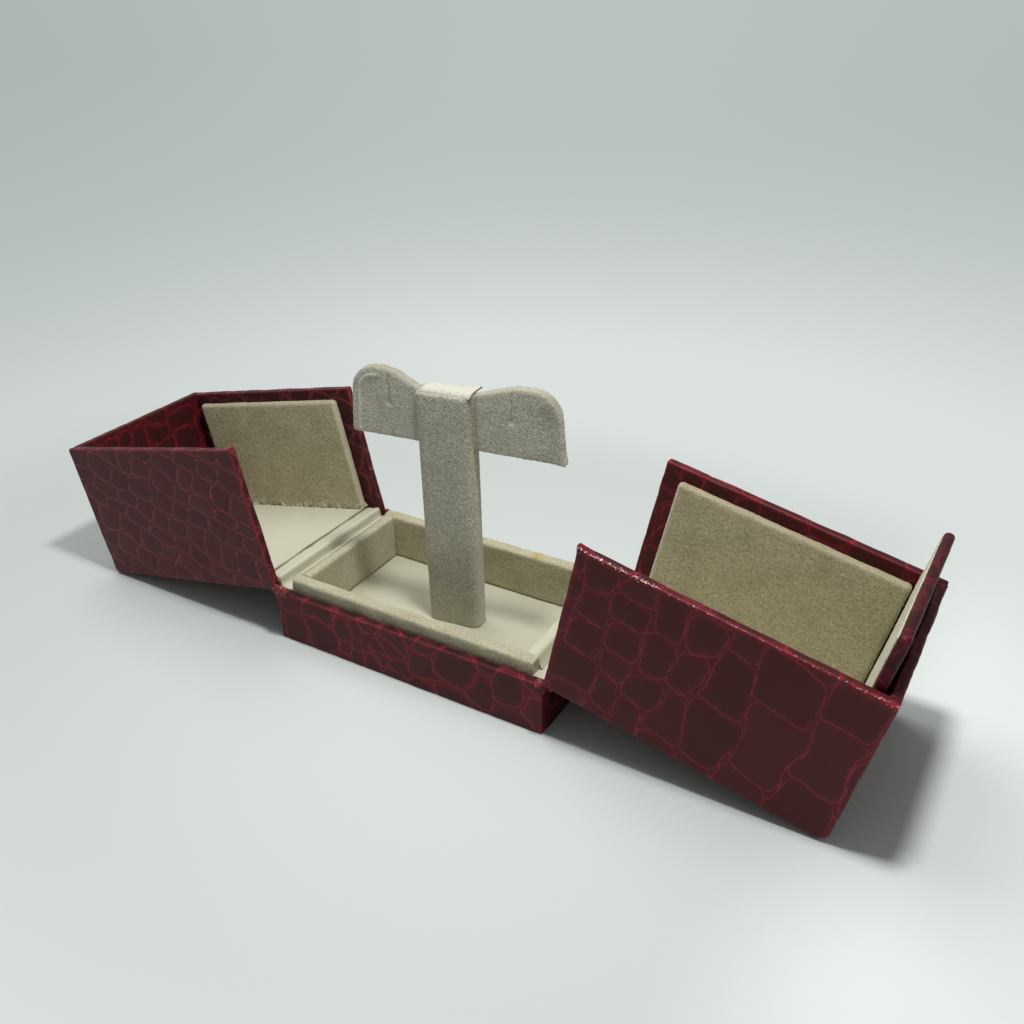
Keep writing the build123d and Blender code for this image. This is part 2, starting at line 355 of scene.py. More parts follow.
def paper(name, shade, light, roughness=0.72, relief=0.03, speck=0.0, rim=(128, 108, 70), nap=None):
    """Smooth lining, card or board: faint fibres, clouding and a few dust specks. Edges, creases and
    the tray's floor take the rim's colour, partly as darker paper and glue, partly as painted shade;
    where it has a nap it turns into flock."""
    sheet = Finish(name)
    cloud = sheet.noise(5.0, 3.0, 0.6)
    fibre = sheet.noise(0.35, 3.0, 0.65)
    colour = sheet.mix(cloud * 0.6 + fibre * 0.5, shade, light)
    colour = sheet.mix(sheet.drawn("edge"), colour, tint(*rim))
    if nap:
        colour = sheet.mix(sheet.drawn("nap") * (0.5 + fibre), colour, nap)
    if speck:
        dust = sheet.noise(0.45, 1.0, 0.5).rising(0.79, 0.82)
        colour = sheet.mix(dust * speck, colour, DUST)
    return sheet.skin({
        "Base Color": colour,
        "Roughness": roughness + 0.1 * fibre,
        "Specular IOR Level": 0.25,
        "Normal": sheet.bump(fibre + cloud, relief, 0.6)})


# Colours of painted shade and painted glints on leatherette, of pale nap and of dust.
SHADED_HIDE = tint(30, 6, 9)
PAINTED_GLINT = tint(240, 226, 220)
PALE_NAP = tint(224, 220, 202)
DUST = tint(84, 74, 58)

HIDE_RIGHT = leatherette(
    "leatherette_right", scale=tint(70, 25, 27), lit_scale=tint(86, 33, 35),
    outline=tint(148, 40, 55), groove=tint(98, 27, 37), fold=tint(182, 42, 58), line=0.17, strength=0.75)
HIDE_TRAY = leatherette(
    "leatherette_tray", scale=tint(66, 25, 28), lit_scale=tint(84, 33, 36),
    outline=tint(158, 34, 50), groove=tint(108, 30, 38), fold=tint(158, 26, 44), line=0.17, strength=0.75)
HIDE_LEFT = leatherette(
    "leatherette_left", scale=tint(76, 34, 37), lit_scale=tint(92, 43, 46),
    outline=tint(170, 72, 80), groove=tint(94, 40, 46), fold=tint(150, 34, 48), line=0.11, strength=0.85)
HIDE_INSIDE = leatherette(
    "leatherette_inside", scale=tint(50, 13, 16), lit_scale=tint(65, 19, 22),
    outline=tint(150, 26, 45), groove=tint(80, 16, 26), fold=tint(128, 34, 44), line=0.14, strength=0.75)
HIDE_FOLD = leatherette(
    "leatherette_fold", scale=tint(84, 28, 32), lit_scale=tint(108, 42, 46),
    outline=tint(150, 50, 58), groove=tint(100, 30, 38), fold=tint(178, 104, 100), line=0.3, strength=0.7)
FLOCK = flocking(
    "flock_stand", shade=tint(150, 147, 129), light=tint(224, 221, 204),
    speck=tint(142, 135, 112), stain=tint(95, 87, 57))
FLOCK_RIMS = flocking(
    "flock_rims", shade=tint(150, 144, 116), light=tint(206, 201, 172),
    speck=tint(146, 137, 106), stain=tint(172, 148, 56))
FLOCK_PADS = flocking(
    "flock_pads", shade=tint(152, 143, 114), light=tint(216, 207, 175),
    speck=tint(150, 140, 107), stain=tint(112, 100, 68))
CREAM = paper(
    "smooth_lining", tint(190, 188, 164), tint(204, 202, 181), roughness=0.62, speck=0.5,
    rim=(118, 111, 84))
CARD = paper("stiff_card", tint(188, 180, 150), tint(210, 202, 174))
GREYBOARD = paper("greyboard", tint(142, 134, 118), tint(168, 160, 142), roughness=0.85, relief=0.08)
CAP = paper(
    "post_cap", tint(188, 187, 170), tint(198, 197, 181), roughness=0.7, rim=(92, 76, 50),
    nap=tint(172, 169, 151))
UNDERSIDE = paper("underside_paper", tint(66, 28, 31), tint(78, 36, 38), roughness=0.6, relief=0.05)
SLOT_FINISH = {
    "leatherette": HIDE_RIGHT, "greyboard": GREYBOARD, "flock": FLOCK, "smooth_lining": CREAM,
    "stiff_card": CARD, "post_core": CARD, "post_cap": CAP, "underside_paper": UNDERSIDE}


# ---------------------------------------------------------------- embossed hide

class Hide:
    """A sheet of rounded scales laid in rows, and the outline that each one carries. The rows
    run at a slant to the sheet; pitch is a row's width and run a scale's length along it.
    growth gives two places across the rows, how much wider the rows are at the second one, and
    the power by which the lengths follow; uneven is how much the lengths differ. rounding is
    the radius of a scale's corners, and gap half the groove between two scales."""

    NEIGHBOURS = 8      # how many other scales shape a scale's outline
    BATCH = 20000       # how many points are worked out at a time

    def __init__(
            self, seed, pitch, run, slant, area, rounding, gap=0.3, growth=(0, 1, 1, 1.6), uneven=0.4):
        self.seed = seed
        self.rounding = rounding
        self.gap = gap
        chance = np.random.default_rng(seed)
        turn = math.radians(slant)
        self.axes = np.array(((math.cos(turn), math.sin(turn)), (-math.sin(turn), math.cos(turn))))
        low, high = np.array(area[:2], float), np.array(area[2:], float)
        middle, reach = self.axes @ (low + high) / 2, np.linalg.norm(high - low) / 2
        narrow, wide, widening, lengthening = growth
        scales = []
        row = -reach
        while row < reach:
            grown = np.interp(middle[1] + row, (narrow, wide), (1, widening))
            width = pitch * grown * chance.uniform(0.8, 1.2)
            at = chance.uniform(-1, 0) * run * grown
            while at < 2 * reach:
                length = run * grown ** lengthening * chance.uniform(1 - uneven, 1 + uneven)
                drift = width * chance.uniform(-0.12, 0.12)
                place = middle + (at + length / 2 - reach, row + width / 2 + drift)
                scales.append((*place, length / 2, width / 2))
                at += length
            row += width
        scales = np.array(scales)
        self.scales = scales[np.linalg.norm(scales[:, :2] - middle, axis=1) < reach + scales[:, 2]]

    def with_cluster(self, centre, radius, pitch):
        """Small scales in place of the large ones around a centre; all then share the room evenly."""
        centre, radius = self.axes @ np.array(centre, float), np.abs(self.axes @ np.array(radius, float))
        away = np.linalg.norm((self.scales[:, :2] - centre) / radius, axis=1)
        area = (*(centre - radius), *(centre + radius))
        small = Hide(self.seed + int(10 * pitch), pitch, pitch * 1.15, 0, area, 1).scales
        close = np.linalg.norm((small[:, :2] - centre) / radius, axis=1)
        self.scales = np.concatenate((self.scales[away > 1.08], small[close < 1]))
        self.scales[:, 2:] = 1.0

    def emboss(self, at):
        """Distance inwards from each scale's outline, and a tone for each scale."""
        at = at + sway(at, self.seed + 2, 15, 0.9) + sway(at, self.seed + 3, 5, 0.14)
        at = at @ self.axes.T
        centres, halves = self.scales[:, :2], self.scales[:, 2:]
        tones = np.random.default_rng(self.seed + 4).uniform(size=len(centres))
        apart = np.linalg.norm(centres[:, None] - centres[None], axis=2)
        np.fill_diagonal(apart, np.inf)
        fine = np.clip(apart.min(1) / FULL_SCALE, 0.3, 1)
        gap = self.gap * (1 + ripple(at, self.seed + 5, 6, 0.5))
        border, tone = np.empty(len(at)), np.empty(len(at))
        for first in range(0, len(at), self.BATCH):
            part = slice(first, first + self.BATCH)
            bulk = sum(
                np.square(at[part, axis, None] / halves[:, axis] - centres[:, axis] / halves[:, axis]) ** 2
                for axis in (0, 1))
            closest = np.argpartition(bulk, self.NEIGHBOURS, axis=1)[:, :self.NEIGHBOURS + 1]
            order = np.argsort(np.take_along_axis(bulk, closest, 1), 1)
            closest = np.take_along_axis(closest, order, 1)
            own = closest[:, 0]
            off = (at[part, None] - centres[closest]) / halves[closest]
            far = np.sqrt(np.sqrt(np.maximum((off ** 2 * off ** 2).sum(-1), 1e-6)))
            slope = off * off * off / (far * far * far)[:, :, None] / halves[closest]
            steep = np.linalg.norm(slope[:, 1:] - slope[:, :1], axis=2)
            away = (far[:, 1:] - far[:, :1]) / np.maximum(steep, 0.02)
            soft = self.rounding * fine[own]
            border[part] = -soft * np.log(np.exp(-away / soft[:, None]).sum(1)) - gap[part] * fine[own]
            tone[part] = tones[own]
        return border, tone


# ---------------------------------------------------------------- forms

def rungs(low, high, step, radius):
    """Grid lines from low to high, closer together in the rounded stretch at each end."""
    ease = radius * np.array((0, 0.3, 0.62, 1.0))
    count = max(1, math.ceil((high - low - 2 * radius) / step))
    middle = np.linspace(low + radius, high - radius, count + 1)[1:-1]
    return np.concatenate((low + ease, middle, (high - ease)[::-1]))


def lattice(lines):
    """Points and outward quads of a block's surface on the given grid lines."""
    size = [len(line) for line in lines]
    index = np.arange(np.prod(size)).reshape(size)
    quads = []
    for axis in range(3):
        for end in (0, -1):
            face = index.take(end, axis)
            ring = np.stack((face[:-1, :-1], face[1:, :-1], face[1:, 1:], face[:-1, 1:]), -1).reshape(-1, 4)
            quads.append(ring if (end == -1) != (axis == 1) else ring[:, ::-1])
    used, quads = np.unique(np.concatenate(quads), return_inverse=True)
    places = np.unravel_index(used, size)
    return np.stack([line[place] for line, place in zip(lines, places)], -1), quads.reshape(-1, 4)


class Slab:
    """A block with a gridded surface. Its edges are rounded, apart from the sharp ones, each
    given as the face that shows there and the face that is hidden. flat keeps the points as
    they are on the block with square edges."""

    TINY = 1e-6

    def __init__(self, low, high, step, radius, sharp=()):
        low, high = np.array(low, float), np.array(high, float)
        radius = np.minimum(radius, (high - low) / 2.02)
        steps = np.broadcast_to(step, 3)
        lines = [rungs(low[i], high[i], steps[i], radius[i]) for i in range(3)]
        self.flat, self.quads = lattice(lines)
        core = np.clip(self.flat, low + radius, high - radius)
        self.over = self.flat - core
        full = np.abs(self.over) > radius * 0.999
        kept = np.abs(self.over) > self.TINY
        for (shown, shown_sign), (hidden, hidden_sign) in sharp:
            both = (self.over[:, shown] * shown_sign > self.TINY) & (
                self.over[:, hidden] * hidden_sign > self.TINY)
            kept[both & full[:, shown], hidden] = False
            kept[both & full[:, hidden] & ~full[:, shown], shown] = False
        lean = self.over * kept / radius
        self.normals = lean / np.maximum(np.linalg.norm(lean, axis=1), 1e-9)[:, None]
        self.points = np.where(kept, core + radius * self.normals, self.flat)
        self.full = full & kept

    def on(self, face):
        """Which points belong to a face."""
        axis, sign = face
        return self.full[:, axis] & (self.over[:, axis] * sign > 0)

    def push(self, amount):
        """Moves each point along its normal by an amount."""
        self.points = self.points + self.normals * np.asarray(amount).reshape(-1, 1)


def make_mesh(name, points, faces, attributes=()):
    """A mesh from points in metres and quads or triangles."""
    mesh = bpy.data.meshes.new(name)
    mesh.vertices.add(len(points))
    mesh.vertices.foreach_set("co", np.asarray(points, np.float32).ravel())
    mesh.loops.add(faces.size)
    mesh.loops.foreach_set("vertex_index", faces.astype(np.int32).ravel())
    mesh.polygons.add(len(faces))
    mesh.polygons.foreach_set("loop_start", np.arange(0, faces.size, faces.shape[1], dtype=np.int32))
    mesh.update(calc_edges=True)
    mesh.shade_smooth()
    for attribute, values in dict(attributes).items():
        layer = mesh.attributes.new(attribute, "FLOAT", "POINT")
        layer.data.foreach_set("value", values.astype(np.float32))
    return mesh


def place_piece(name, rest, faces, finish, nodes, attributes=()):
    """A piece from points in metres, standing for some CAD nodes and taking a slot's finish."""
    piece = bpy.data.objects.new(name, make_mesh(name, rest, faces, attributes))
    bpy.context.scene.collection.objects.link(piece)
    piece.data.materials.append(finish)
    if nodes:
        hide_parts(*nodes)
    return piece


def add_piece(name, points, faces, finish, body, nodes, attributes=()):
    """A piece from millimetre points of the closed box, laid open with its body."""
    rest = carried(points * MM, closing(body).inverted())
    piece = place_piece(name, rest, faces, finish, nodes, attributes)
    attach(piece, body)
    return piece


# ---------------------------------------------------------------- leatherette walls

def relief(slab, ridge, flat_share):
    """Presses the gaps between scales into the surface and lets each scale swell a little,
    less where a share of the surface is flat."""
    sunk = 1 - unit((ridge + 0.2) / 0.7)
    swell = 1 - np.exp(-np.clip(ridge, 0, None) / 1.6)
    slab.push((0.04 * swell - 0.09 * sunk * sunk * (3 - 2 * sunk)) * (1 - unit(flat_share)))


def wrapped(name, slab, run, rise, hide, finish, body, nodes, fold, glint=0.0, dim=0.0, taut=1.0):
    """A board wrapped in leatherette: run and rise place each point on the hide, and taut is
    how much of the hide's relief and waviness is left."""
    ridge, tone = hide.emboss(np.stack((run, rise), 1))
    # Painted glints here and there on the scales' outlines.
    patch = unit(ripple(slab.flat, hide.seed + 20, 14) - 0.5)
    glint = np.maximum(glint, 0.16 * patch * near(np.abs(ridge), 0.12))
    relief(slab, ridge, 1 - taut * (1 - unit(1.6 * fold)))
    slab.push(taut * ripple(slab.flat, hide.seed + 9, 9, 0.04))
    slab.push(taut * fold * ripple(slab.flat, hide.seed + 10, 3.5, 0.06))
    values = {
        "ridge": ridge, "tone": tone, "fold": fold, "glint": glint,
        "dim": np.broadcast_to(dim, fold.shape)}
    add_piece(name, slab.points, slab.quads, finish, body, nodes, values)


def turned_edge(short, under, thickness):
    """Wear where the leatherette turns over an edge: most at the edge's two corners. short is
    the distance to the edge and under the depth below the outer face."""
    short = np.clip(short, 0, None)
    outer = near(np.hypot(short, under), EDGE_WEAR)
    inner = near(np.hypot(short, thickness - under), EDGE_WEAR)
    return np.maximum(outer, 0.6 * inner)


def between_edges(short, under, thickness):
    """1 on the narrow face where the leatherette turns over an edge, 0 at its corners."""
    inset = np.minimum(under, thickness - under)
    return near(short, 0.1) * unit((inset - 0.15) / 0.3)


def blunt(slab, side):
    """Rounds the lid's outer corner, which stands on the table when the lid is open; the right
    one is worn most at its front end."""
    from_front = slab.points[:, 1] + HALF_WIDTH
    wear = CORNER_WEAR + (side > 0) * FRONT_WEAR * near(from_front, FRONT_WEAR_FADE)[:, None]
    centre = np.hstack((side * (HALF_LENGTH - wear), LID_TOP - wear))
    slab.points[:, [0, 2]] = centre + arced((slab.points[:, [0, 2]] - centre) * (side, 1)) * (side, 1)


def lid_walls(lid, side, hide, top_hide, finish, inside_finish, step):
    """Front, back, end and top of one half lid."""
    for long_name, outward in LONG_SIDES:
        lid_long_wall(lid, side, long_name, outward, hide, finish, step)
    lid_end_wall(lid, side, hide, finish, step)
    lid_top_wall(lid, side, top_hide, inside_finish, step)


def lid_long_wall(lid, side, long_name, outward, hide, finish, step):
    """A lid's front or back wall. Its hide runs on around every edge and over the inner face."""
    nodes = [f"{lid}_lid_{long_name}_wrap"]
    low, high = span(*nodes)
    thickness = high[1] - low[1]
    end, mating, inner = (0, side), (0, -side), (1, -outward)
    slab = Slab(low, high, (step, step, 0.5), LID_EDGE, [(end, inner), (TOP, inner)])
    depth = HALF_LENGTH - side * slab.flat[:, 0]
    up = slab.flat[:, 2] - HINGE_Z
    under = HALF_WIDTH - outward * slab.flat[:, 1]
    mouth, foot, drop = LID_REACH - depth, up - (low[2] - HINGE_Z), LID_RISE - up
    on_inner, on_end = slab.on(inner), slab.on(end)
    # Where each point lies on the hide.
    run = np.where(on_inner, 2 * LID_REACH + WALL - depth, depth)
    run = np.where(slab.on(mating), LID_REACH + under, run)
    run = np.where(on_end | slab.on(TOP), -under, run)
    rise = np.where(slab.on(FOOT), up - under, up)
    rise = np.where(slab.on(TOP) & ~on_end, LID_RISE + depth, rise)
    if outward > 0:
        run = -2 * HALF_WIDTH - run
    # Wear along the turned edges and at the corners, and painted glints on it; painted shade on the narrow edge
    # faces and on the inner face.
    fold = np.maximum(turned_edge(mouth, under, thickness), turned_edge(foot, under, thickness))
    corner = near(np.hypot(depth, under), 0.35) + near(np.hypot(drop, under), 0.35)
    fold = np.maximum(fold, 0.45 * unit(corner))
    glint = near(np.hypot(mouth, under), 0.3) * (0.3 + 0.7 * near(up - 13, 4)) * EDGE_GLINT[lid, outward]
    dim = np.maximum(between_edges(mouth, under, thickness), between_edges(foot, under, thickness))
    dim = np.maximum(0.65 * dim, on_inner * INNER_SHADE[side])
    blunt(slab, side)
    # The mating edge's foot ends in a small peak, and in front the edge is crumpled, with painted glints on the
    # right lid's crumple.
    peak = near(foot, 0.8) * near(mouth, 0.7)
    fold = np.maximum(fold, unit(1.5 * peak))
    if outward < 0:
        slab.points += np.outer(peak, (-side, -0.7, -0.4)) * PEAK[side]
        crumpled = near(drop, 8) * near(np.hypot(mouth, under), 0.7)
        slab.push(crumpled * ripple(slab.flat, 97 + side, 2.0, 0.22))
        fold = np.maximum(fold, crumpled * CRUMPLE[side])
        glint = np.maximum(glint, 0.35 * crumpled * (side > 0))
    elif side > 0:
        # The slanting joint of two turn-ins, with painted shade along its gap and a fold beside it.
        shown = on_inner * near(foot - MITRE, 0.2)
        askew = foot - mouth
        dim = np.maximum(dim, shown * near(np.abs(askew), 0.3))
        fold = np.maximum(fold, 0.8 * shown * near(np.abs(askew - 0.8), 0.25))
    wrapped(
        f"{lid}_{long_name}_wall", slab, run, rise, hide, finish, f"{lid}_lid", nodes, fold, glint, dim)


def lid_end_wall(lid, side, hide, finish, step):
    """A lid's end wall, between its long walls and under its top."""
    low, high = span(f"{lid}_lid_end_wrap", f"{lid}_lid_end_board")
    low[0], high[0] = sorted((side * HALF_LENGTH, side * (HALF_LENGTH - WALL - OVERLAP)))
    low[1], high[1] = WALL - HALF_WIDTH, HALF_WIDTH - WALL
    end, inner = (0, side), (0, -side)
    sharp = [(face, long_face) for face in (end, TOP, FOOT) for long_face in (FRONT, BACK)]
    slab = Slab(low, high, (0.5, step, step), LID_EDGE, [*sharp, (TOP, inner)])
    up = slab.flat[:, 2] - HINGE_Z
    across = slab.flat[:, 1] + HALF_WIDTH
    depth = HALF_LENGTH - side * slab.flat[:, 0]
    blunt(slab, side)
    fold = np.maximum(0.45 * near(np.hypot(LID_RISE - up, depth), 0.35), 0.5 * near(up - 0.5, 0.3))
    wrapped(
        f"{lid}_end_wall", slab, -across, np.where(slab.on(TOP), LID_RISE + depth, up), hide, finish,
        f"{lid}_lid", [f"{lid}_lid_end_wrap"], fold)


def lid_top_wall(lid, side, hide, finish, step):
    """A lid's top, between its long walls. Its hide runs on over the mating edge and under it."""
    low, high = span(f"{lid}_lid_top_wrap")
    low[0], high[0] = sorted((side * (HALF_LENGTH - WALL), side * (HALF_LENGTH - LID_REACH)))
    low[1], high[1] = WALL - OVERLAP - HALF_WIDTH, HALF_WIDTH - WALL + OVERLAP
    end, mating = (0, side), (0, -side)
    sharp = [(face, long_face) for face in (TOP, FOOT, mating) for long_face in (FRONT, BACK)]
    slab = Slab(low, high, (step, step, 0.5), LID_EDGE, [*sharp, (TOP, end), (FOOT, end)])
    depth = HALF_LENGTH - side * slab.flat[:, 0]
    drop = high[2] - slab.flat[:, 2]
    rise = np.where(slab.on(FOOT), 2 * LID_REACH + WALL - depth, depth)
    rise = np.where(slab.on(mating), LID_REACH + drop, rise)
    across = slab.flat[:, 1] + HALF_WIDTH
    blunt(slab, side)
    wrapped(
        f"{lid}_top_wall", slab, -across, LID_RISE + rise, hide, finish, f"{lid}_lid",
        [f"{lid}_lid_top_wrap"], turned_edge(LID_REACH - depth, drop, high[2] - low[2]))


def worn_boards():
    """The right lid's boards that meet at its outer corner, worn round with the leatherette."""
    for board in ("end", "top", "front"):
        nodes = [f"right_lid_{board}_board"]
        slab = Slab(*span(*nodes), (0.5, 0.8, 0.5), 0.1)
        blunt(slab, 1)
        add_piece(
            f"right_{board}_board", slab.points, slab.quads, GREYBOARD, "right_lid", nodes)


def tray_walls(hide, finish, step):
    """Front, back and the two ends of the tray."""
    for long_name, outward in LONG_SIDES:
        tray_long_wall(long_name, outward, hide, finish, step)
    for end_name, side in SIDES:
        tray_end_wall(end_name, side, hide, finish, step)


def tray_long_wall(long_name, outward, hide, finish, step):
    """The tray's front or back wall. Its hide runs on over the top edge and down the inner face,
    and the wear along that edge comes and goes."""
    nodes = [f"base_{long_name}_wrap"]
    low, high = span(*nodes)
    thickness = high[1] - low[1]
    inner = (1, -outward)
    slab = Slab(low, high, step, TRAY_EDGE, [(RIGHT, inner), (LEFT, inner), (FOOT, inner)])
    under = HALF_WIDTH - outward * slab.flat[:, 1]
    run = slab.flat[:, 0] + HALF_LENGTH
    run = np.where(slab.on(LEFT), -under, run)
    run = np.where(slab.on(RIGHT), 2 * HALF_LENGTH + under, run)
    rise = np.where(slab.on(inner), 2 * TRAY_TOP + WALL - slab.flat[:, 2], slab.flat[:, 2])
    rise = np.where(slab.on(TOP), TRAY_TOP + under, rise)
    rise = np.where(slab.on(FOOT), -under, rise)
    if outward > 0:
        run = 4 * HALF_LENGTH + 2 * HALF_WIDTH - run
    short = TRAY_TOP - slab.flat[:, 2]
    knots = unit(ripple(slab.flat[:, :1], hide.seed + 12, 9))
    fold = turned_edge(short, under, thickness) * (0.45 + knots)
    # Painted shade on the top edge's upward face, less at the knots.
    dim = 0.8 * between_edges(short, under, thickness) * (1 - 0.7 * knots)
    ends = HALF_LENGTH - np.abs(slab.flat[:, 0])
    fold = np.maximum(fold, 0.8 * near(np.hypot(ends, under), 0.3))
    # A few painted glints along the worn edges.
    wrapped(
        f"tray_{long_name}_wall", slab, run, rise, hide, finish, "tray", nodes, fold, 0.12 * fold, dim)


def tray_end_wall(end_name, side, hide, finish, step):
    """One of the tray's end walls, between its long walls."""
    low, high = span(f"base_{end_name}_end_wrap", f"base_{end_name}_end_board")
    low[1], high[1] = WALL - HALF_WIDTH, HALF_WIDTH - WALL
    end, inner = (0, side), (0, -side)
    sharp = [(face, long_face) for face in (end, TOP) for long_face in (FRONT, BACK)]
    slab = Slab(low, high, (0.6, step, step), 0.4, [*sharp, (end, FOOT), (TOP, inner)])
    across = slab.flat[:, 1] + HALF_WIDTH
    run = -across if side < 0 else 2 * HALF_LENGTH + across
    # Painted shade: the end walls are painted darker, where they lie under the open lids.
    wrapped(
        f"tray_{end_name}_end", slab, run, slab.flat[:, 2], hide, finish, "tray",
        [f"base_{end_name}_end_wrap"], 0.4 * near(high[2] - slab.flat[:, 2], 0.3), dim=0.7)


# ---------------------------------------------------------------- hinges

def strip(route, half, thickness, step):
    """A strip that follows a route in x and z, half its width to each side of the box's middle:
    its points, their normals, its quads, and how far each point is along the route."""
    route = np.array(route, float)
    for _ in range(3):
        cut = np.stack((0.75 * route[:-1] + 0.25 * route[1:], 0.25 * route[:-1] + 0.75 * route[1:]), 1)
        route = np.concatenate((route[:1], cut.reshape(-1, 2), route[-1:]))
    walked = np.concatenate(([0], np.cumsum(np.linalg.norm(np.diff(route, axis=0), axis=1))))
    marks = np.linspace(0, walked[-1], math.ceil(walked[-1] / step) + 1)
    line = np.stack([np.interp(marks, walked, route[:, i]) for i in (0, 1)], 1)
    ahead = np.gradient(line, axis=0)
    normal = np.stack((-ahead[:, 1], ahead[:, 0]), 1) / np.linalg.norm(ahead, axis=1)[:, None]
    ring = np.concatenate((line + normal * thickness / 2, (line - normal * thickness / 2)[::-1]))
    lean = np.concatenate((normal, -normal[::-1]))
    along = np.concatenate((marks, marks[::-1]))
    across = np.linspace(-half, half, math.ceil(2 * half / 0.4) + 1)
    count, rows = len(ring), len(across)
    points = np.stack((np.tile(ring[:, 0], rows), np.repeat(across, count), np.tile(ring[:, 1], rows)), 1)
    normals = np.stack((np.tile(lean[:, 0], rows), np.zeros(count * rows), np.tile(lean[:, 1], rows)), 1)
    index = np.arange(count * rows).reshape(rows, count)
    onwards = np.roll(index, -1, 1)
    quads = np.stack((index[:-1], index[1:], onwards[1:], onwards[:-1]), -1).reshape(-1, 4)
    here = np.arange(len(line) - 1)
    cap = np.stack((here, here + 1, count - 2 - here, count - 1 - here), 1)
    quads = np.concatenate((quads, index[0][cap], index[-1][cap][:, ::-1]))
    return points, normals, outwards(points, quads), np.tile(along, rows)


def outwards(points, quads):
    """The quads, turned if they face inwards."""
    first, second, third, fourth = (points[quads[:, i]] for i in range(4))
    volume = np.einsum("ij,ij->i", first, np.cross(second, third) + np.cross(third, fourth)).sum()
    return quads if volume > 0 else quads[:, ::-1]


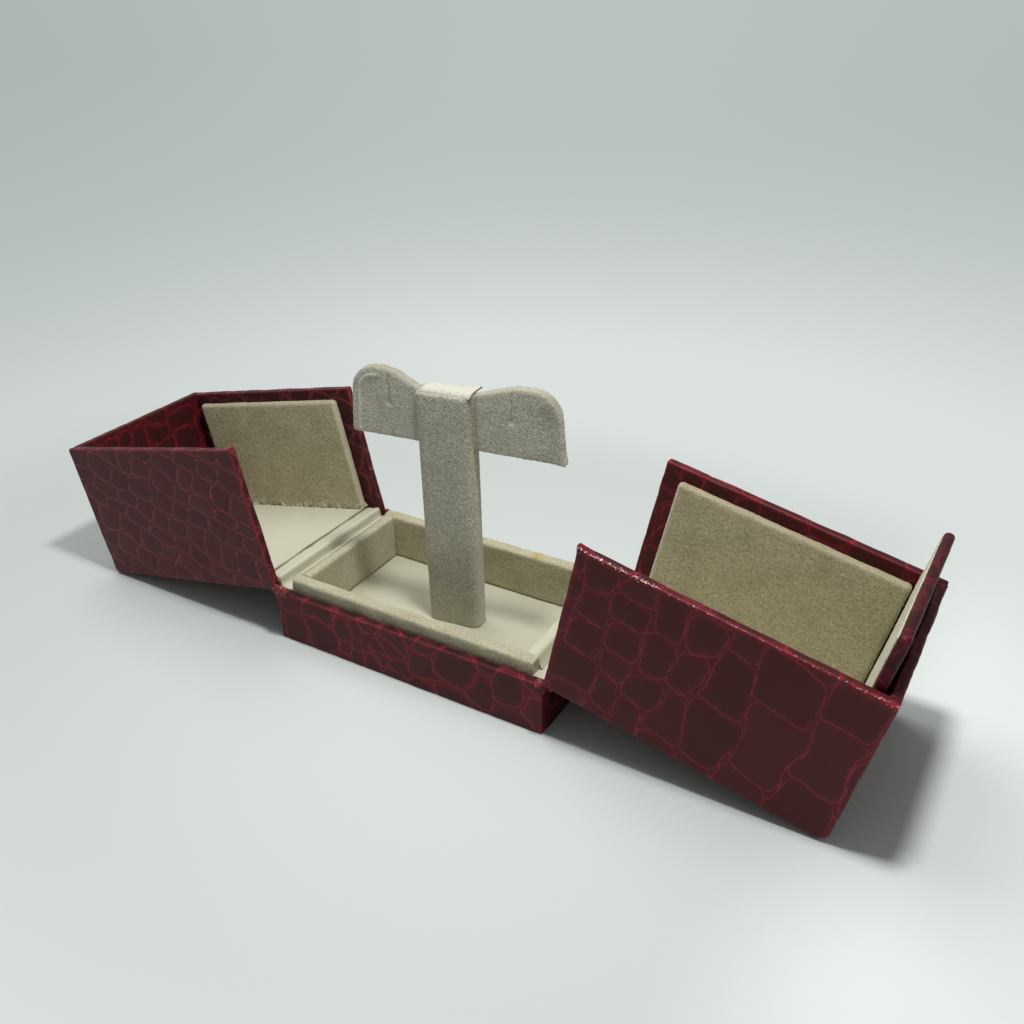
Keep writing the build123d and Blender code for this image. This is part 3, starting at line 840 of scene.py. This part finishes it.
class HingeLine:
    """The line at one end of the box that a lid turns on, and what bends over it. Places beside
    it are x and z in millimetres, with the lid laid open."""

    def __init__(self, end, side):
        self.end = end
        self.side = side
        self.lid = f"{end}_lid"
        self.ledge_low, self.ledge_high = span(f"{end}_ledge_lining")
        self.rim_x = min(abs(self.ledge_low[0]), abs(self.ledge_high[0])) + RIM_GAP
        self.ledge_z = self.ledge_low[2] + LINING / 2

    def on_tray(self, outward, up):
        """A place beside the tray, out from its end face and up from the hinge."""
        return np.array((self.side * (HALF_LENGTH + outward), HINGE_Z + up))

    def on_lid(self, up, depth):
        """A place on the lid, up from the hinge and in from its end face as it stands closed."""
        closed = np.array([[self.side * (HALF_LENGTH - depth), 0, HINGE_Z + up]]) * MM
        return carried(closed, closing(self.lid).inverted())[0, [0, 2]] / MM

    def bend(self, piece, start, finish):
        """Bakes a piece's place into its mesh; start and finish are not used."""
        start, finish = start * MM, finish * MM
        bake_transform(piece)

    def leather(self, name, points, quads, nodes, values):
        """A piece of leatherette over the hinge line."""
        piece = place_piece(name, points * MM, quads, HIDE_FOLD, nodes, values)
        self.bend(piece, self.on_tray(0.1, -0.6), self.on_lid(0.6, 0.0))

    def lining(self):
        """Smooth lining from the tray's ledge over the hinge line and up to the lid's card."""
        side = self.side
        card_low, card_high = span(f"{self.lid}_hinge_lining")
        half = card_high[1]
        inner = HALF_LENGTH - min(abs(card_low[0]), abs(card_high[0])) - LINING / 2
        foot, crease = card_low[2] - HINGE_Z + LINING / 2, card_high[2] - HINGE_Z
        route = [
            (side * self.rim_x, self.ledge_z), (side * (self.rim_x + 1.4), self.ledge_z),
            (side * (HALF_LENGTH - 0.4), self.ledge_z), self.on_lid(foot, 0.0),
            self.on_lid(foot, inner * 0.5), self.on_lid(foot, inner), self.on_lid(foot + 0.7, inner),
            self.on_lid(crease - 1, inner), self.on_lid(crease, inner)]
        points, normals, quads, along = strip(route, half, LINING, 0.16)
        length = along.max()
        edge = near(half - np.abs(points[:, 1]), 0.12) * 0.35
        ragged = 0.25 * np.abs(ripple(points, 71 + side, 4))
        # Painted shade where the lining ends in the crease at the end card.
        edge = np.maximum(edge, near(length - along - ragged, 0.3))
        for place, darkness in ((0.3, 0.5), (0.46, 0.7)):
            wander = 0.22 * ripple(points[:, 1:2], 73 + side, 12)
            patchy = unit(0.5 + ripple(points[:, 1:2], 79 + side, 8))
            crack = near(np.abs(along - place * length - wander), 0.09)
            edge = np.maximum(edge, darkness * patchy * crack)
        bulge = 0.22 * band(along - 0.62 * length, 0.9)
        points += normals * (ripple(points, 70 + side, 11, 0.09) + bulge)[:, None] * -side
        piece = place_piece(
            f"{self.end}_hinge_lining", points * MM, quads, CREAM,
            [f"{self.end}_ledge_lining", f"{self.lid}_hinge_lining"], {"edge": edge})
        self.bend(piece, self.on_tray(-0.35, -0.2), self.on_tray(0.27, 0.3))

    def upright(self):
        """The edge of the left lining, which stands up against the end rim."""
        half, foot, top = span("left_rim_flock")[1][1] - 0.05, self.ledge_z, self.ledge_high[2]
        slab = Slab((0.12 - self.rim_x, -half, foot), (0.42 - self.rim_x, half, top), 0.4, 0.12)
        lean = unit((slab.flat[:, 2] - foot) / (top - foot))
        slab.points[:, 0] -= lean ** 2 * (0.12 + 0.1 * ripple(slab.flat, 74, 12))
        slab.points[:, 2] += lean * ripple(slab.flat, 76, 9, 0.12)
        add_piece("left_rim_lining", slab.points, slab.quads, CREAM, "tray", ())

    def drape(self):
        """The right lining where it comes up from the ledge and lies over the end rim."""
        rim_low, rim_high = span("right_rim_flock")
        near_x, far_x, foot, top = self.rim_x, rim_low[0], self.ledge_z, self.ledge_high[2]
        route = [
            (near_x + 0.9, foot + 0.1), (near_x + 0.25, foot + 1.2), (near_x - 0.1, top - 0.5),
            (near_x - 0.4, top), (near_x - 1.0, top + 0.12), (far_x + 0.5, top + 0.12),
            (far_x + 0.05, top), (far_x - 0.08, top - 0.7)]
        points, normals, quads, _ = strip(route, rim_high[1] + 0.45, 0.16, 0.25)
        points += normals * (0.03 * ripple(points, 76, 10))[:, None]
        add_piece("right_rim_lining", points, quads, CREAM, "tray", ())

    def fold(self):
        """Leatherette over the hinge line outside."""
        route = [
            self.on_tray(FOLD_PROUD, -2.3), self.on_tray(FOLD_PROUD, -0.9),
            self.on_tray(FOLD_PROUD + 0.02, -0.4), self.on_lid(0.45, -FOLD_PROUD - 0.02),
            self.on_lid(1.0, -FOLD_PROUD), self.on_lid(2.4, -FOLD_PROUD)]
        half = HALF_WIDTH - 0.1
        points, normals, quads, _ = strip(route, half, FOLD, 0.18)
        tip = near(half - np.abs(points[:, 1]), 1.0)
        points += normals * (0.1 * ripple(points, 80 + self.side, 2.4) * tip)[:, None]
        self.leather(f"{self.end}_hinge_fold", points, quads, [f"{self.end}_hinge_fold"], {
            "ridge": 0.5 + ripple(points, 84 + self.side, 2.5, 0.8), "tone": 0.5 + 0 * tip,
            "fold": 0.2 + 0.5 * tip, "glint": 0 * tip})

    def knots(self):
        """The fold's two ends, each bunched into a knot."""
        for long_name, outward in LONG_SIDES:
            width, height = KNOT if (self.end, long_name) == ("left", "front") else SMALL_KNOT
            middle = np.array((
                self.side * (HALF_LENGTH - 0.25 * width), outward * (HALF_WIDTH - 0.15), HINGE_Z + 0.2))
            reach = np.array((width / 2, 0.6, height / 2))
            slab = Slab(middle - reach, middle + reach, 0.16, (width * 0.45, 0.5, height * 0.45))
            slab.push(ripple(slab.flat, 86 + self.side + 3 * outward, 3.0, 0.22))
            crumple = ripple(slab.flat, 88 + self.side + 3 * outward, 1.3)
            slab.push(0.1 * crumple)
            # Painted glints on the knots' crumples.
            self.leather(f"{self.end}_{long_name}_knot", slab.points, slab.quads, (), {
                "ridge": 0.3 * crumple, "tone": 0.5 + 0 * crumple, "fold": unit(0.3 + 0.5 * crumple),
                "glint": np.clip(0.4 * crumple - 0.2, 0, 0.4)})


def hinges():
    """The lining and the leatherette that run over each hinge line, from the tray to the lid."""
    for end, side in SIDES:
        hinge = HingeLine(end, side)
        hinge.lining()
        if side < 0:
            hinge.upright()
        else:
            hinge.drape()
        hinge.fold()
        hinge.knots()


# ---------------------------------------------------------------- flock and linings

def flocked(name, low, high, body, nodes, radius, finish, face=None, crown=0.0, step=0.32, seed=1,
            padded=None, frayed=False, blot=None):
    """A flock-covered block: soft edges, a slight crown on one face and a nap that stands uneven;
    a frayed foot and a blot at a place along it where it has them. A padded one gets painted shade
    on its end towards the middle of the box, which faces up when its lid lies open."""
    slab = Slab(low, high, step, radius)
    low, high = np.array(low), np.array(high)
    if face:
        axis, sign = face
        share = 2 * (slab.flat - (low + high) / 2) / (high - low)
        swell = np.prod([1 - np.abs(share[:, i]) ** 4 for i in range(3) if i != axis], axis=0)
        slab.points[:, axis] += sign * crown * swell * (np.sign(share[:, axis]) == sign)
    chance = np.random.default_rng(seed)
    slab.push(chance.normal(0, 0.03, len(slab.flat)))
    slab.push(ripple(slab.flat, seed, 7, 0.05))
    inside = np.sort(np.minimum(slab.flat - low, high - slab.flat), axis=1)[:, 1]
    # Paler edges: worn nap, and painted sheen where the nap catches light.
    pale = near(inside - 0.1, 0.3) * chance.uniform(0.15, 0.5, len(inside))
    if frayed:
        foot = near(slab.flat[:, 0] - low[0], 0.6)
        slab.push(foot * np.abs(sway(slab.flat, seed + 3, 2.6, 0.6)[:, 2]))
        pale = np.maximum(pale, foot * chance.uniform(0.3, 1.0, len(foot)))
    stain = 0 * pale
    # Painted shade on a padded block's end towards the middle of the box, which faces up when the lid lies open.
    if padded is not None:
        stain = 0.5 * unit(-np.sign(low[0]) * slab.normals[:, 0])
    if blot is not None:
        stain = 0.9 * near(np.abs(slab.flat[:, 0] - blot), 0.9) * near(high[2] - slab.flat[:, 2], 0.9)
        stain = np.maximum(stain, 0.12)
    piece = add_piece(
        name, slab.points, slab.quads, finish, body, nodes, {"pale": pale, "stain": stain})


def pads():
    """Flocked pads on the long walls of both lids."""
    for number, (lid, side) in enumerate(SIDES):
        for long_name, outward in LONG_SIDES:
            nodes = [f"{lid}_lid_{long_name}_pad_flock"]
            flocked(
                f"{lid}_{long_name}_pad", *span(*nodes), f"{lid}_lid", nodes, radius=0.95,
                finish=FLOCK_PADS, face=(1, -outward), crown=0.25, seed=20 + 4 * number + outward,
                padded=0.5, frayed=side < 0 < outward)


def rims():
    """Flocked rims standing in the tray; the long ones are cut square at their ends."""
    for number, name in enumerate(("front", "back", "left", "right")):
        nodes = [f"{name}_rim_flock"]
        low, high = span(*nodes)
        if name == "right":
            high[2] -= RIM_DROP
        radius = (0.2, 0.9, 0.9) if name in ("front", "back") else (0.9, 0.4, 0.9)
        flocked(
            f"{name}_rim", low, high, "tray", nodes, radius, FLOCK_RIMS, step=0.28, seed=40 + number,
            blot=BLOT if name == "back" else None)


def cards():
    """Smooth card on each lid's end wall and on the tray's floor, lying not quite flat."""
    for lid, side in SIDES:
        nodes = [f"{lid}_lid_end_card"]
        low, high = span(*nodes)
        slab = Slab(low, high, (0.2, 0.6, 0.6), 0.1)
        slab.points[:, 0] -= side * slab.on((0, -side)) * np.abs(ripple(slab.flat, 90 + side, 16, 0.07))
        crease = near(slab.flat[:, 2] - low[2], 0.4)
        slab.points[:, 2] += crease * np.abs(sway(slab.flat, 92 + side, 7, 0.25)[:, 2])
        # Darker paper edges, and painted shade along the crease at the card's foot.
        edge = np.maximum(0.4 * near(high[1] - np.abs(slab.flat[:, 1]), 0.12), 0.75 * crease ** 2)
        add_piece(
            f"{lid}_end_card", slab.points, slab.quads, CREAM, f"{lid}_lid", nodes,
            {"edge": edge})
    slab = Slab(*span("floor_lining"), (0.6, 0.6, 0.2), 0.1)
    slab.points[:, 2] += slab.on(TOP) * np.abs(ripple(slab.flat, 95, 13, 0.05))
    # Painted shade: the floor lining is painted a little darker all over.
    add_piece(
        "tray_floor", slab.points, slab.quads, CREAM, "tray", ["floor_lining"],
        {"edge": np.full(len(slab.points), 0.13)})


# ---------------------------------------------------------------- closing tongue

def tongue(hide):
    """The tongue under the right lid's top: flock inside, leatherette on its back and edges."""
    nodes = ["right_lid_tongue_wrap", "right_lid_tongue_board"]
    low, high = span(*nodes)
    flock_low, flock_high = span("right_lid_tongue_flock")
    low[2] = flock_low[2] + 0.2
    slab = Slab(low, high, 0.34, (1.0, 0.7, 1.0))
    beside = slab.on(FRONT) | slab.on(BACK)
    height = slab.flat[:, 2] - HINGE_Z
    run = slab.flat[:, 0] + 60 * slab.on(FRONT) + 1.3 * height * (beside | slab.on(LEFT))
    rise = np.where(beside, 1.3 * height, slab.flat[:, 1] + 40)
    fold = 0.35 * near(high[1] - np.abs(slab.flat[:, 1]), 0.5) * near(slab.flat[:, 0] - low[0], 9)
    # Painted glints along its worn edges, and painted shade all over it.
    wrapped(
        "tongue_leatherette", slab, run, rise, hide, HIDE_INSIDE, "right_lid", nodes, fold,
        glint=0.2 * fold, dim=0.3, taut=0.3)
    flock_high[2] = flock_low[2] + 0.55
    flocked(
        "tongue_flock", flock_low + (0.7, 0.55, 0), flock_high - (0, 0.55, 0), "right_lid",
        ["right_lid_tongue_flock"], radius=0.2, finish=FLOCK_RIMS, seed=50)


# ---------------------------------------------------------------- display stand

class Stance:
    """Where the stand is and how it is turned: the middle of the post at the top of its sleeve,
    and the directions across and behind it."""

    def __init__(self):
        points = corners_of("post_cap")
        self.middle = (points.min(0) + points.max(0)) / 2
        self.middle[2] = points[:, 2].min()
        spread = points[:, :2] - self.middle[:2]
        across = np.linalg.eigh(spread.T @ spread)[1][:, 1]
        across = across * np.sign(across[0])
        self.across = np.array((*across, 0))
        self.behind = np.array((-across[1], across[0], 0))

    def local(self, points):
        """Points of the box as distances across, behind and above the middle."""
        off = points - self.middle
        return np.stack((off @ self.across, off @ self.behind, off[:, 2]), 1)

    def placed(self, local):
        """Such distances as points of the box."""
        points = self.middle + np.outer(local[:, 0], self.across) + np.outer(local[:, 1], self.behind)
        points[:, 2] = self.middle[2] + local[:, 2]
        return points

    def block(self, across, low, high, width, depth):
        """A small block turned with the stand, as corners and quads."""
        signs = np.array([(x, y, z) for x in (-1, 1) for y in (-1, 1) for z in (-1, 1)]) / 2
        quads = [(0, 1, 3, 2), (4, 6, 7, 5), (0, 4, 5, 1), (2, 3, 7, 6), (0, 2, 6, 4), (1, 5, 7, 3)]
        middle = self.middle + self.across * across + (0, 0, (low + high) / 2)
        steps = np.stack((self.across, self.behind, (0, 0, 1)))
        return middle + (signs * (width, depth, high - low)) @ steps, quads


def remade(name, nodes, blocks, voxel, smoothing):
    """CAD solids and extra blocks grown together under one skin with softened edges: its points
    in millimetres, their normals and its quads."""
    solids = [frame["nodes"][node].data for node in nodes]
    shapes = [
        ([vertex.co for vertex in solid.vertices], [polygon.vertices for polygon in solid.polygons])
        for solid in solids]
    shapes += [(corners * MM, quads) for corners, quads in blocks]
    points, faces = [], []
    for corners, quads in shapes:
        first = len(points)
        points += [tuple(corner) for corner in corners]
        faces += [tuple(first + i for i in quad) for quad in quads]
    mesh = bpy.data.meshes.new(name)
    mesh.from_pydata(points, [], faces)
    rough = bpy.data.objects.new(name + "_rough", mesh)
    bpy.context.scene.collection.objects.link(rough)
    grow = rough.modifiers.new("grow", "REMESH")
    grow.mode = "VOXEL"
    grow.voxel_size = voxel * MM
    soften = rough.modifiers.new("soften", "SMOOTH")
    soften.factor = 0.5
    soften.iterations = smoothing
    made = bpy.data.meshes.new_from_object(rough.evaluated_get(bpy.context.evaluated_depsgraph_get()))
    bpy.data.objects.remove(rough)
    at, normals = (np.empty(3 * len(made.vertices), np.float32) for _ in range(2))
    made.vertices.foreach_get("co", at)
    made.vertices.foreach_get("normal", normals)
    quads = np.array([polygon.vertices[:] for polygon in made.polygons])
    return at.reshape(-1, 3).astype(float) / MM, normals.reshape(-1, 3).astype(float), quads


def card_outline(stance):
    """Points along the contour of the winged card, as distance across and height."""
    local = stance.local(corners_of("earring_card"))
    flat, depth = np.round(local[:, [0, 2]], 3), local[:, 1]
    met = {}
    for polygon in frame["nodes"]["earring_card"].data.polygons:
        corners = list(polygon.vertices)
        if (depth[corners] < depth.min() + 0.05).all():
            ends = [tuple(flat[corner]) for corner in corners]
            for pair in zip(ends, ends[1:] + ends[:1]):
                met.setdefault(frozenset(pair), []).append(pair)
    steps = np.linspace(0, 1, 12)[:, None]
    single = [np.array(pairs[0]) for pairs in met.values() if len(pairs) == 1]
    return np.concatenate([pair[0] * (1 - steps) + pair[1] * steps for pair in single])


def nearest(points, targets):
    """How far each point lies from the closest target."""
    best = np.full(len(points), np.inf)
    batch = 400
    for first in range(0, len(targets), batch):
        gap = ((points[:, None] - targets[None, first:first + batch]) ** 2).sum(-1).min(1)
        best = np.minimum(best, gap)
    return np.sqrt(best)


def slit_places(outline):
    """Each slit's middle across the stand, its foot and its mouth."""
    places = []
    for side in (-1, 1):
        out = outline[:, 0] * side
        beside = outline[(out > SLIT_RANGE[0]) & (out < SLIT_RANGE[1])]
        hole = beside[(beside[:, 1] < beside[:, 1].max() - 4) & (beside[:, 1] > outline[:, 1].min() + 1.5)]
        middle = (hole[:, 0].min() + hole[:, 0].max()) / 2
        mouth = beside[np.abs(beside[:, 0] - middle) < 0.9, 1].max()
        places.append((middle, hole[:, 1].min(), mouth))
    return places


def without_slits(stance, outline, slits):
    """Blocks that close the card's slits, and the contour without them."""
    plugs = []
    for slit, foot, mouth in slits:
        plugs.append(stance.block(slit, foot - 0.15, foot + 1.55, width=1.7, depth=2.1))
        plugs.append(stance.block(slit, foot + 1, mouth - 0.4, width=0.8, depth=2.1))
        beyond = (outline[:, 1] > mouth - 0.1) | (outline[:, 1] < foot - 0.2)
        outline = outline[(np.abs(outline[:, 0] - slit) > 1.1) | beyond]
    return plugs, outline


def slit_marks(flat, slits):
    """Where the nap is dented at each slit's foot, and where it shows the slit as a thin line."""
    dent, cut = np.zeros(len(flat)), np.zeros(len(flat))
    for slit, foot, mouth in slits:
        dent = np.maximum(dent, np.exp(-((flat - (slit, foot + 0.5)) ** 2).sum(1) / 0.6))
        along = unit((flat[:, 1] - foot - 0.9) / 0.5) * unit((mouth - 0.5 - flat[:, 1]) / 0.8)
        wander = 0.16 * ripple(flat[:, 1:], 63, 4)
        cut = np.maximum(cut, band(flat[:, 0] - slit - wander, 0.17) * along)
    return np.stack((dent, cut))


def wings(stance, chance):
    """The card's wings under one skin of flock, with their slits closed up by the nap. The left
    wing has a pressed welt along its rim, and the right one's lower tip is pulled down."""
    nodes = ["earring_card", "earring_card_front_flock", "earring_card_back_flock"]
    outline = card_outline(stance)
    slits = slit_places(outline)
    plugs, rim = without_slits(stance, outline, slits)
    at, normals, quads = remade("wings", nodes, plugs, voxel=0.18, smoothing=22)
    flat = stance.local(at)[:, [0, 2]]
    across, height = flat.T
    forward = normals @ -stance.behind
    bottom = rim[:, 1].min()
    outer = np.full(len(flat), np.inf)
    left = across < -WELT_FROM
    outer[left] = nearest(flat[left], rim[(rim[:, 1] > bottom + 0.4) & (rim[:, 0] < -10)])
    welt = band(outer - WELT_INSET, 0.34) * (forward > 0.8) * unit((-across - WELT_FROM - 0.3) / 1.5)
    dent, cut = slit_marks(flat, slits) * (np.abs(forward) > 0.5)
    nap = chance.normal(0.09, 0.035 + 0.05 * near(height - bottom, 0.4))
    at += normals * (nap + 0.2 * welt - 0.14 * dent - 0.12 * cut)[:, None]
    tip = rim[np.argmax(rim[:, 0] - rim[:, 1])]
    pulled = near(np.linalg.norm(flat - tip, axis=1), 0.9)
    at += np.outer(pulled, 0.3 * stance.across - (0, 0, 0.45))
    # Painted light: the rim is painted paler, most on the right wing.
    lit_rim = np.where(across > 0, 0.45, 0.1) * near(nearest(flat, rim), 0.9) * (height > bottom + 5)
    pale = unit(0.1 + lit_rim + 0.55 * welt + 0.5 * dent) * chance.uniform(0.5, 1.2, len(at))
    # Painted shadow where the wings meet the post, most on the right, and painted shade on faces that look up; the
    # right wing's shoulder is darker, and the closed slits are painted as dark lines for their shaded gaps.
    joint = near(np.abs(np.abs(across) - POST_SIDE), 0.6) * (forward > 0.3) * np.where(across > 0, 1, 0.4)
    shoulder = np.exp(-((flat - (across.max() - 3.2, -1.5)) ** 2).sum(1) / 7)
    topside = 0.5 * unit(2 * normals[:, 2] - 0.3)
    add_piece("stand_wings", at, quads, FLOCK, "tray", nodes, {
        "pale": pale * (1 - cut), "stain": unit(0.5 * joint + 0.35 * shoulder + 0.4 * cut + topside)})


def rolled(local, half, inset):
    """Rounds the rim of the post's top, whose plan has round corners of an inset's radius."""
    core = np.clip(local[:, :2], inset - half, half - inset)
    lean = local[:, :2] - core
    reach = np.maximum(np.linalg.norm(lean, axis=1), 1e-9)
    out = arced(np.stack((reach - inset + POST_RIM, local[:, 2] + POST_RIM), 1))
    level = core + lean / reach[:, None] * (out[:, :1] + inset - POST_RIM)
    return np.column_stack((level, out[:, 1] - POST_RIM))


def post(stance, chance):
    """The post's flock sleeve; returns half its width and half its depth."""
    nodes = ["post_core", "post_sleeve"]
    at, normals, quads = remade("post", nodes, [], voxel=0.22, smoothing=3)
    local = stance.local(at)
    half = np.abs(local[:, :2]).max(0)
    local = rolled(local, half, 2.0)
    at = stance.placed(local) + normals * chance.normal(0.03, 0.045, len(at))[:, None]
    facing = normals @ -stance.behind
    across, down = local[:, 0], -local[:, 2]
    # Painted light: the side edges are painted paler, and the lower post too, to make up for less light falling
    # there.
    pale = 0.45 * near(half[0] - np.abs(across), 0.6) * chance.uniform(0.3, 1.0, len(at))
    pale += 0.3 * unit((down - 28) / 20)
    # The front of the post's foot is a little browner, and painted shadow lies on the post's right side below the
    # cap, where the right wing meets it.
    low_front = unit((down - 34) / 14) * unit(facing)
    joined = near(half[0] - across, 0.5) * near(down - 2, 9) * (facing > -0.5)
    add_piece("stand_post", at, quads, FLOCK, "tray", nodes, {
        "pale": pale, "stain": 0.1 + 0.14 * low_front + 0.55 * joined})
    return half


def post_cap(stance, half):
    """Smooth sheet over the top of the post: its front rolls over, its right back corner lifts."""
    width, depth = half
    slab = Slab(
        (0.35 - width, 0.1 - 0.1 * POST_RIM - depth, 0), (width + 0.2, depth + 0.1, CAP_SHEET),
        (0.25, 0.15, 0.2), (1.1, 1.1, 0.12))
    x, y, up = slab.points.T
    past = depth - POST_RIM
    angle = np.clip((-y - past) / POST_RIM, 0, None)
    up = up + 0.04 - 0.5 * np.clip(angle - 0.15, 0, None)
    lean = -past - (POST_RIM + up) * np.sin(angle)
    sunk = (POST_RIM + up) * np.cos(angle) - POST_RIM
    left = unit((-x - width + 1.6) / 1.3)
    lifted = unit((x - 2.2) / 4.3) ** 1.5 * unit((y + 1.8) / 4.4)
    local = np.stack((
        x + 1.1 * lifted ** 2 + 0.2 * left,
        np.where(angle > 0, lean, y) + 0.3 * lifted,
        np.where(angle > 0, sunk, up) + 0.8 * lifted - 0.65 * left ** 2), 1)
    local[:, 2] += 0.02 * ripple(slab.flat, 66, 8)
    # Its right edge is darker: brown glue, and painted shadow under the lifted corner.
    edge = near(width + 0.2 - slab.flat[:, 0], 0.12) * (y > -2.8)
    frayed = 0.4 * ripple(slab.flat, 67, 1.5)
    front = unit((-slab.flat[:, 1] - past + 0.9 + frayed) / 1.5)
    add_piece("post_cap", stance.placed(local), slab.quads, CAP, "tray", ["post_cap"], {
        "edge": edge, "nap": np.maximum(front, unit(1.4 * left - 0.2))})


def stand():
    """Flocked wings and post, and the smooth cap that folds over the post's front."""
    stance = Stance()
    chance = np.random.default_rng(61)
    wings(stance, chance)
    post_cap(stance, post(stance, chance))


# ---------------------------------------------------------------- room, light and camera

BACKDROP = tint(186, 194, 190)
PALE_BACKDROP = tint(219, 225, 222)
GREY_BACKDROP = tint(148, 158, 152)
SKY = (0.205, 0.214, 0.218, 1.0)


def floor_paint():
    """Pale paint that takes shadows near the box and further off fades into a glowing backdrop,
    which has painted light and shade: paler close to the box, greyer to the left and right.
    Distances are in metres from the middle of the box."""
    ground = Finish("floor_paint")
    at = ground.spot()
    away = ground.node("VectorMath", {"operation": "LENGTH"}, {0: at}, outlet=1)
    oval = ground.node("VectorMath", {"operation": "MULTIPLY"}, {0: at, 1: (0.62, 1.0, 1.0)})
    beyond = ground.node("VectorMath", {"operation": "LENGTH"}, {0: oval}, outlet=1)
    across = ground.node("SeparateXYZ", {}, {0: at}, outlet=0)
    # Painted light and shade on the backdrop: paler close to the box, greyer to the left and right.
    aside = across / away
    left = (1 - aside.rising(-1.1, -0.5)) * (0.22 + 0.4 * away.rising(0.1, 1.8))
    right = aside.rising(-0.4, 0.3) * away.rising(0.2, 1.2) * 0.33
    colour = ground.mix((1 / away).rising(1.0, 5.4), BACKDROP, PALE_BACKDROP)
    colour = ground.mix((left + right) * (1 - away.rising(4.5, 11)), colour, GREY_BACKDROP)
    paint = ground.mix(ground.noise(220, 2.0), tint(203, 209, 205), tint(209, 215, 211))
    # Painted light: right of the box the floor is painted paler, which brightens its shadow there.
    lit = ground.node("BsdfPrincipled", {}, {
        "Base Color": ground.mix(across.rising(0.075, 0.11), paint, tint(232, 238, 234)),
        "Roughness": 0.8,
        "Specular IOR Level": 0.1})
    glow = ground.node("Emission", {}, {"Color": colour, "Strength": 1.0})
    share = beyond.rising(0.078, 0.13) * ground.seen()
    surface = ground.node("MixShader", {}, {0: share, 1: lit, 2: glow})
    ground.node("OutputMaterial", {}, {"Surface": surface})
    return ground.material


def room():
    """A pale floor, a small bright lamp above the right half and an even soft sky; in metres."""
    reach = 12.0
    corners = [(-reach, -reach, 0), (reach, -reach, 0), (reach, reach, 0), (-reach, reach, 0)]
    mesh = bpy.data.meshes.new("floor")
    mesh.from_pydata(corners, [], [(0, 1, 2, 3)])
    floor = bpy.data.objects.new("floor", mesh)
    bpy.context.scene.collection.objects.link(floor)
    floor.data.materials.append(floor_paint())
    world = bpy.data.worlds.new("soft_room")
    bpy.context.scene.world = world
    sky = Board(world)
    colour = sky.mix(sky.seen(), SKY, BACKDROP)
    sky.node("OutputWorld", {}, {"Surface": sky.node("Background", {}, {"Color": colour, "Strength": 1.0})})
    target = Vector((0, 0, 0.02))
    for name, place, size, watts in (
            ("key", (0.062, -0.023, 0.288), 0.036, 0.56),
            ("ceiling", (-0.3, 0.1, 0.6), 0.5, 1.9)):
        lamp = bpy.data.lights.new(name, "AREA")
        lamp.shape = "DISK"
        lamp.size = size
        lamp.energy = watts
        holder = bpy.data.objects.new(name, lamp)
        holder.location = place
        holder.rotation_euler = (target - Vector(place)).to_track_quat("-Z", "Y").to_euler()
        holder.visible_camera = False
        bpy.context.scene.collection.objects.link(holder)


def camera():
    """The view from the front right, a little above the open lids: its place in millimetres,
    and its turn, tilt and roll in radians."""
    place = Vector((113.456, -158.693, 140.102)) * MM
    turn, tilt, roll = 0.54985, 0.50638, -0.023994
    ahead = Vector((-math.sin(turn) * math.cos(tilt), math.cos(turn) * math.cos(tilt), -math.sin(tilt)))
    level = Vector((math.cos(turn), math.sin(turn), 0))
    upward = level.cross(ahead)
    right = math.cos(roll) * level + math.sin(roll) * upward
    top = math.cos(roll) * upward - math.sin(roll) * level
    lens = bpy.data.cameras.new("view")
    lens.sensor_width = 36
    lens.lens = 35.466
    lens.clip_start = 0.01
    lens.clip_end = 30
    eye = bpy.data.objects.new("view", lens)
    eye.matrix_world = Matrix.Translation(place) @ Matrix((right, top, -ahead)).transposed().to_4x4()
    bpy.context.scene.collection.objects.link(eye)
    bpy.context.scene.camera = eye


# ---------------------------------------------------------------- the box

def finish_nodes():
    """Each CAD node gets the finish of its material slot."""
    for node in frame["nodes"].values():
        made = node.data.materials[0].name if node.data.materials and node.data.materials[0] else ""
        known = next((finish for slot, finish in SLOT_FINISH.items() if slot in made), GREYBOARD)
        node.data.materials.clear()
        node.data.materials.append(known)


# Areas of the sheets that cover the walls: low and high corner, in millimetres.
LID_SHEET = (-120, -8, 85, 68)
LID_TOP_SHEET = (-48, 50, 8, 140)
TRAY_SHEET = (-50, -6, 240, 34)
TONGUE_SHEET = (-60, -10, 110, 110)

finish_nodes()
lid_walls(
    "right", 1,
    Hide(
        seed=11, pitch=6.8, run=8.2, slant=4, area=LID_SHEET, rounding=0.55, gap=0.2,
        growth=(16, 36, 1.45, 1.6), uneven=0.3),
    Hide(seed=12, pitch=7.5, run=9.5, slant=85, area=LID_TOP_SHEET, rounding=0.6, gap=0.32),
    HIDE_RIGHT, HIDE_RIGHT, GRID)
lid_walls(
    "left", -1,
    Hide(
        seed=13, pitch=5.6, run=6.4, slant=66, area=LID_SHEET, rounding=0.5, gap=0.14, uneven=0.25),
    Hide(
        seed=14, pitch=4.2, run=4.6, slant=85, area=LID_TOP_SHEET, rounding=0.45, gap=0.14,
        growth=(22, 44, 2.4, 0.35), uneven=0.25),
    HIDE_LEFT, HIDE_INSIDE, GRID)
worn_boards()
tray_hide = Hide(seed=15, pitch=7.4, run=9.5, slant=86, area=TRAY_SHEET, rounding=0.5, gap=0.2)
tray_hide.with_cluster(centre=(25.5, 6), radius=(9, 8), pitch=4.0)
tray_hide.with_cluster(centre=(26, 6), radius=(4.4, 6.5), pitch=2.6)
tray_walls(tray_hide, HIDE_TRAY, TRAY_GRID)
hinges()
pads()
rims()
cards()
tongue(Hide(seed=16, pitch=7.0, run=10.0, slant=35, area=TONGUE_SHEET, rounding=0.9, gap=0.5))
stand()
room()
camera()
bpy.context.scene.view_settings.view_transform = "Standard"
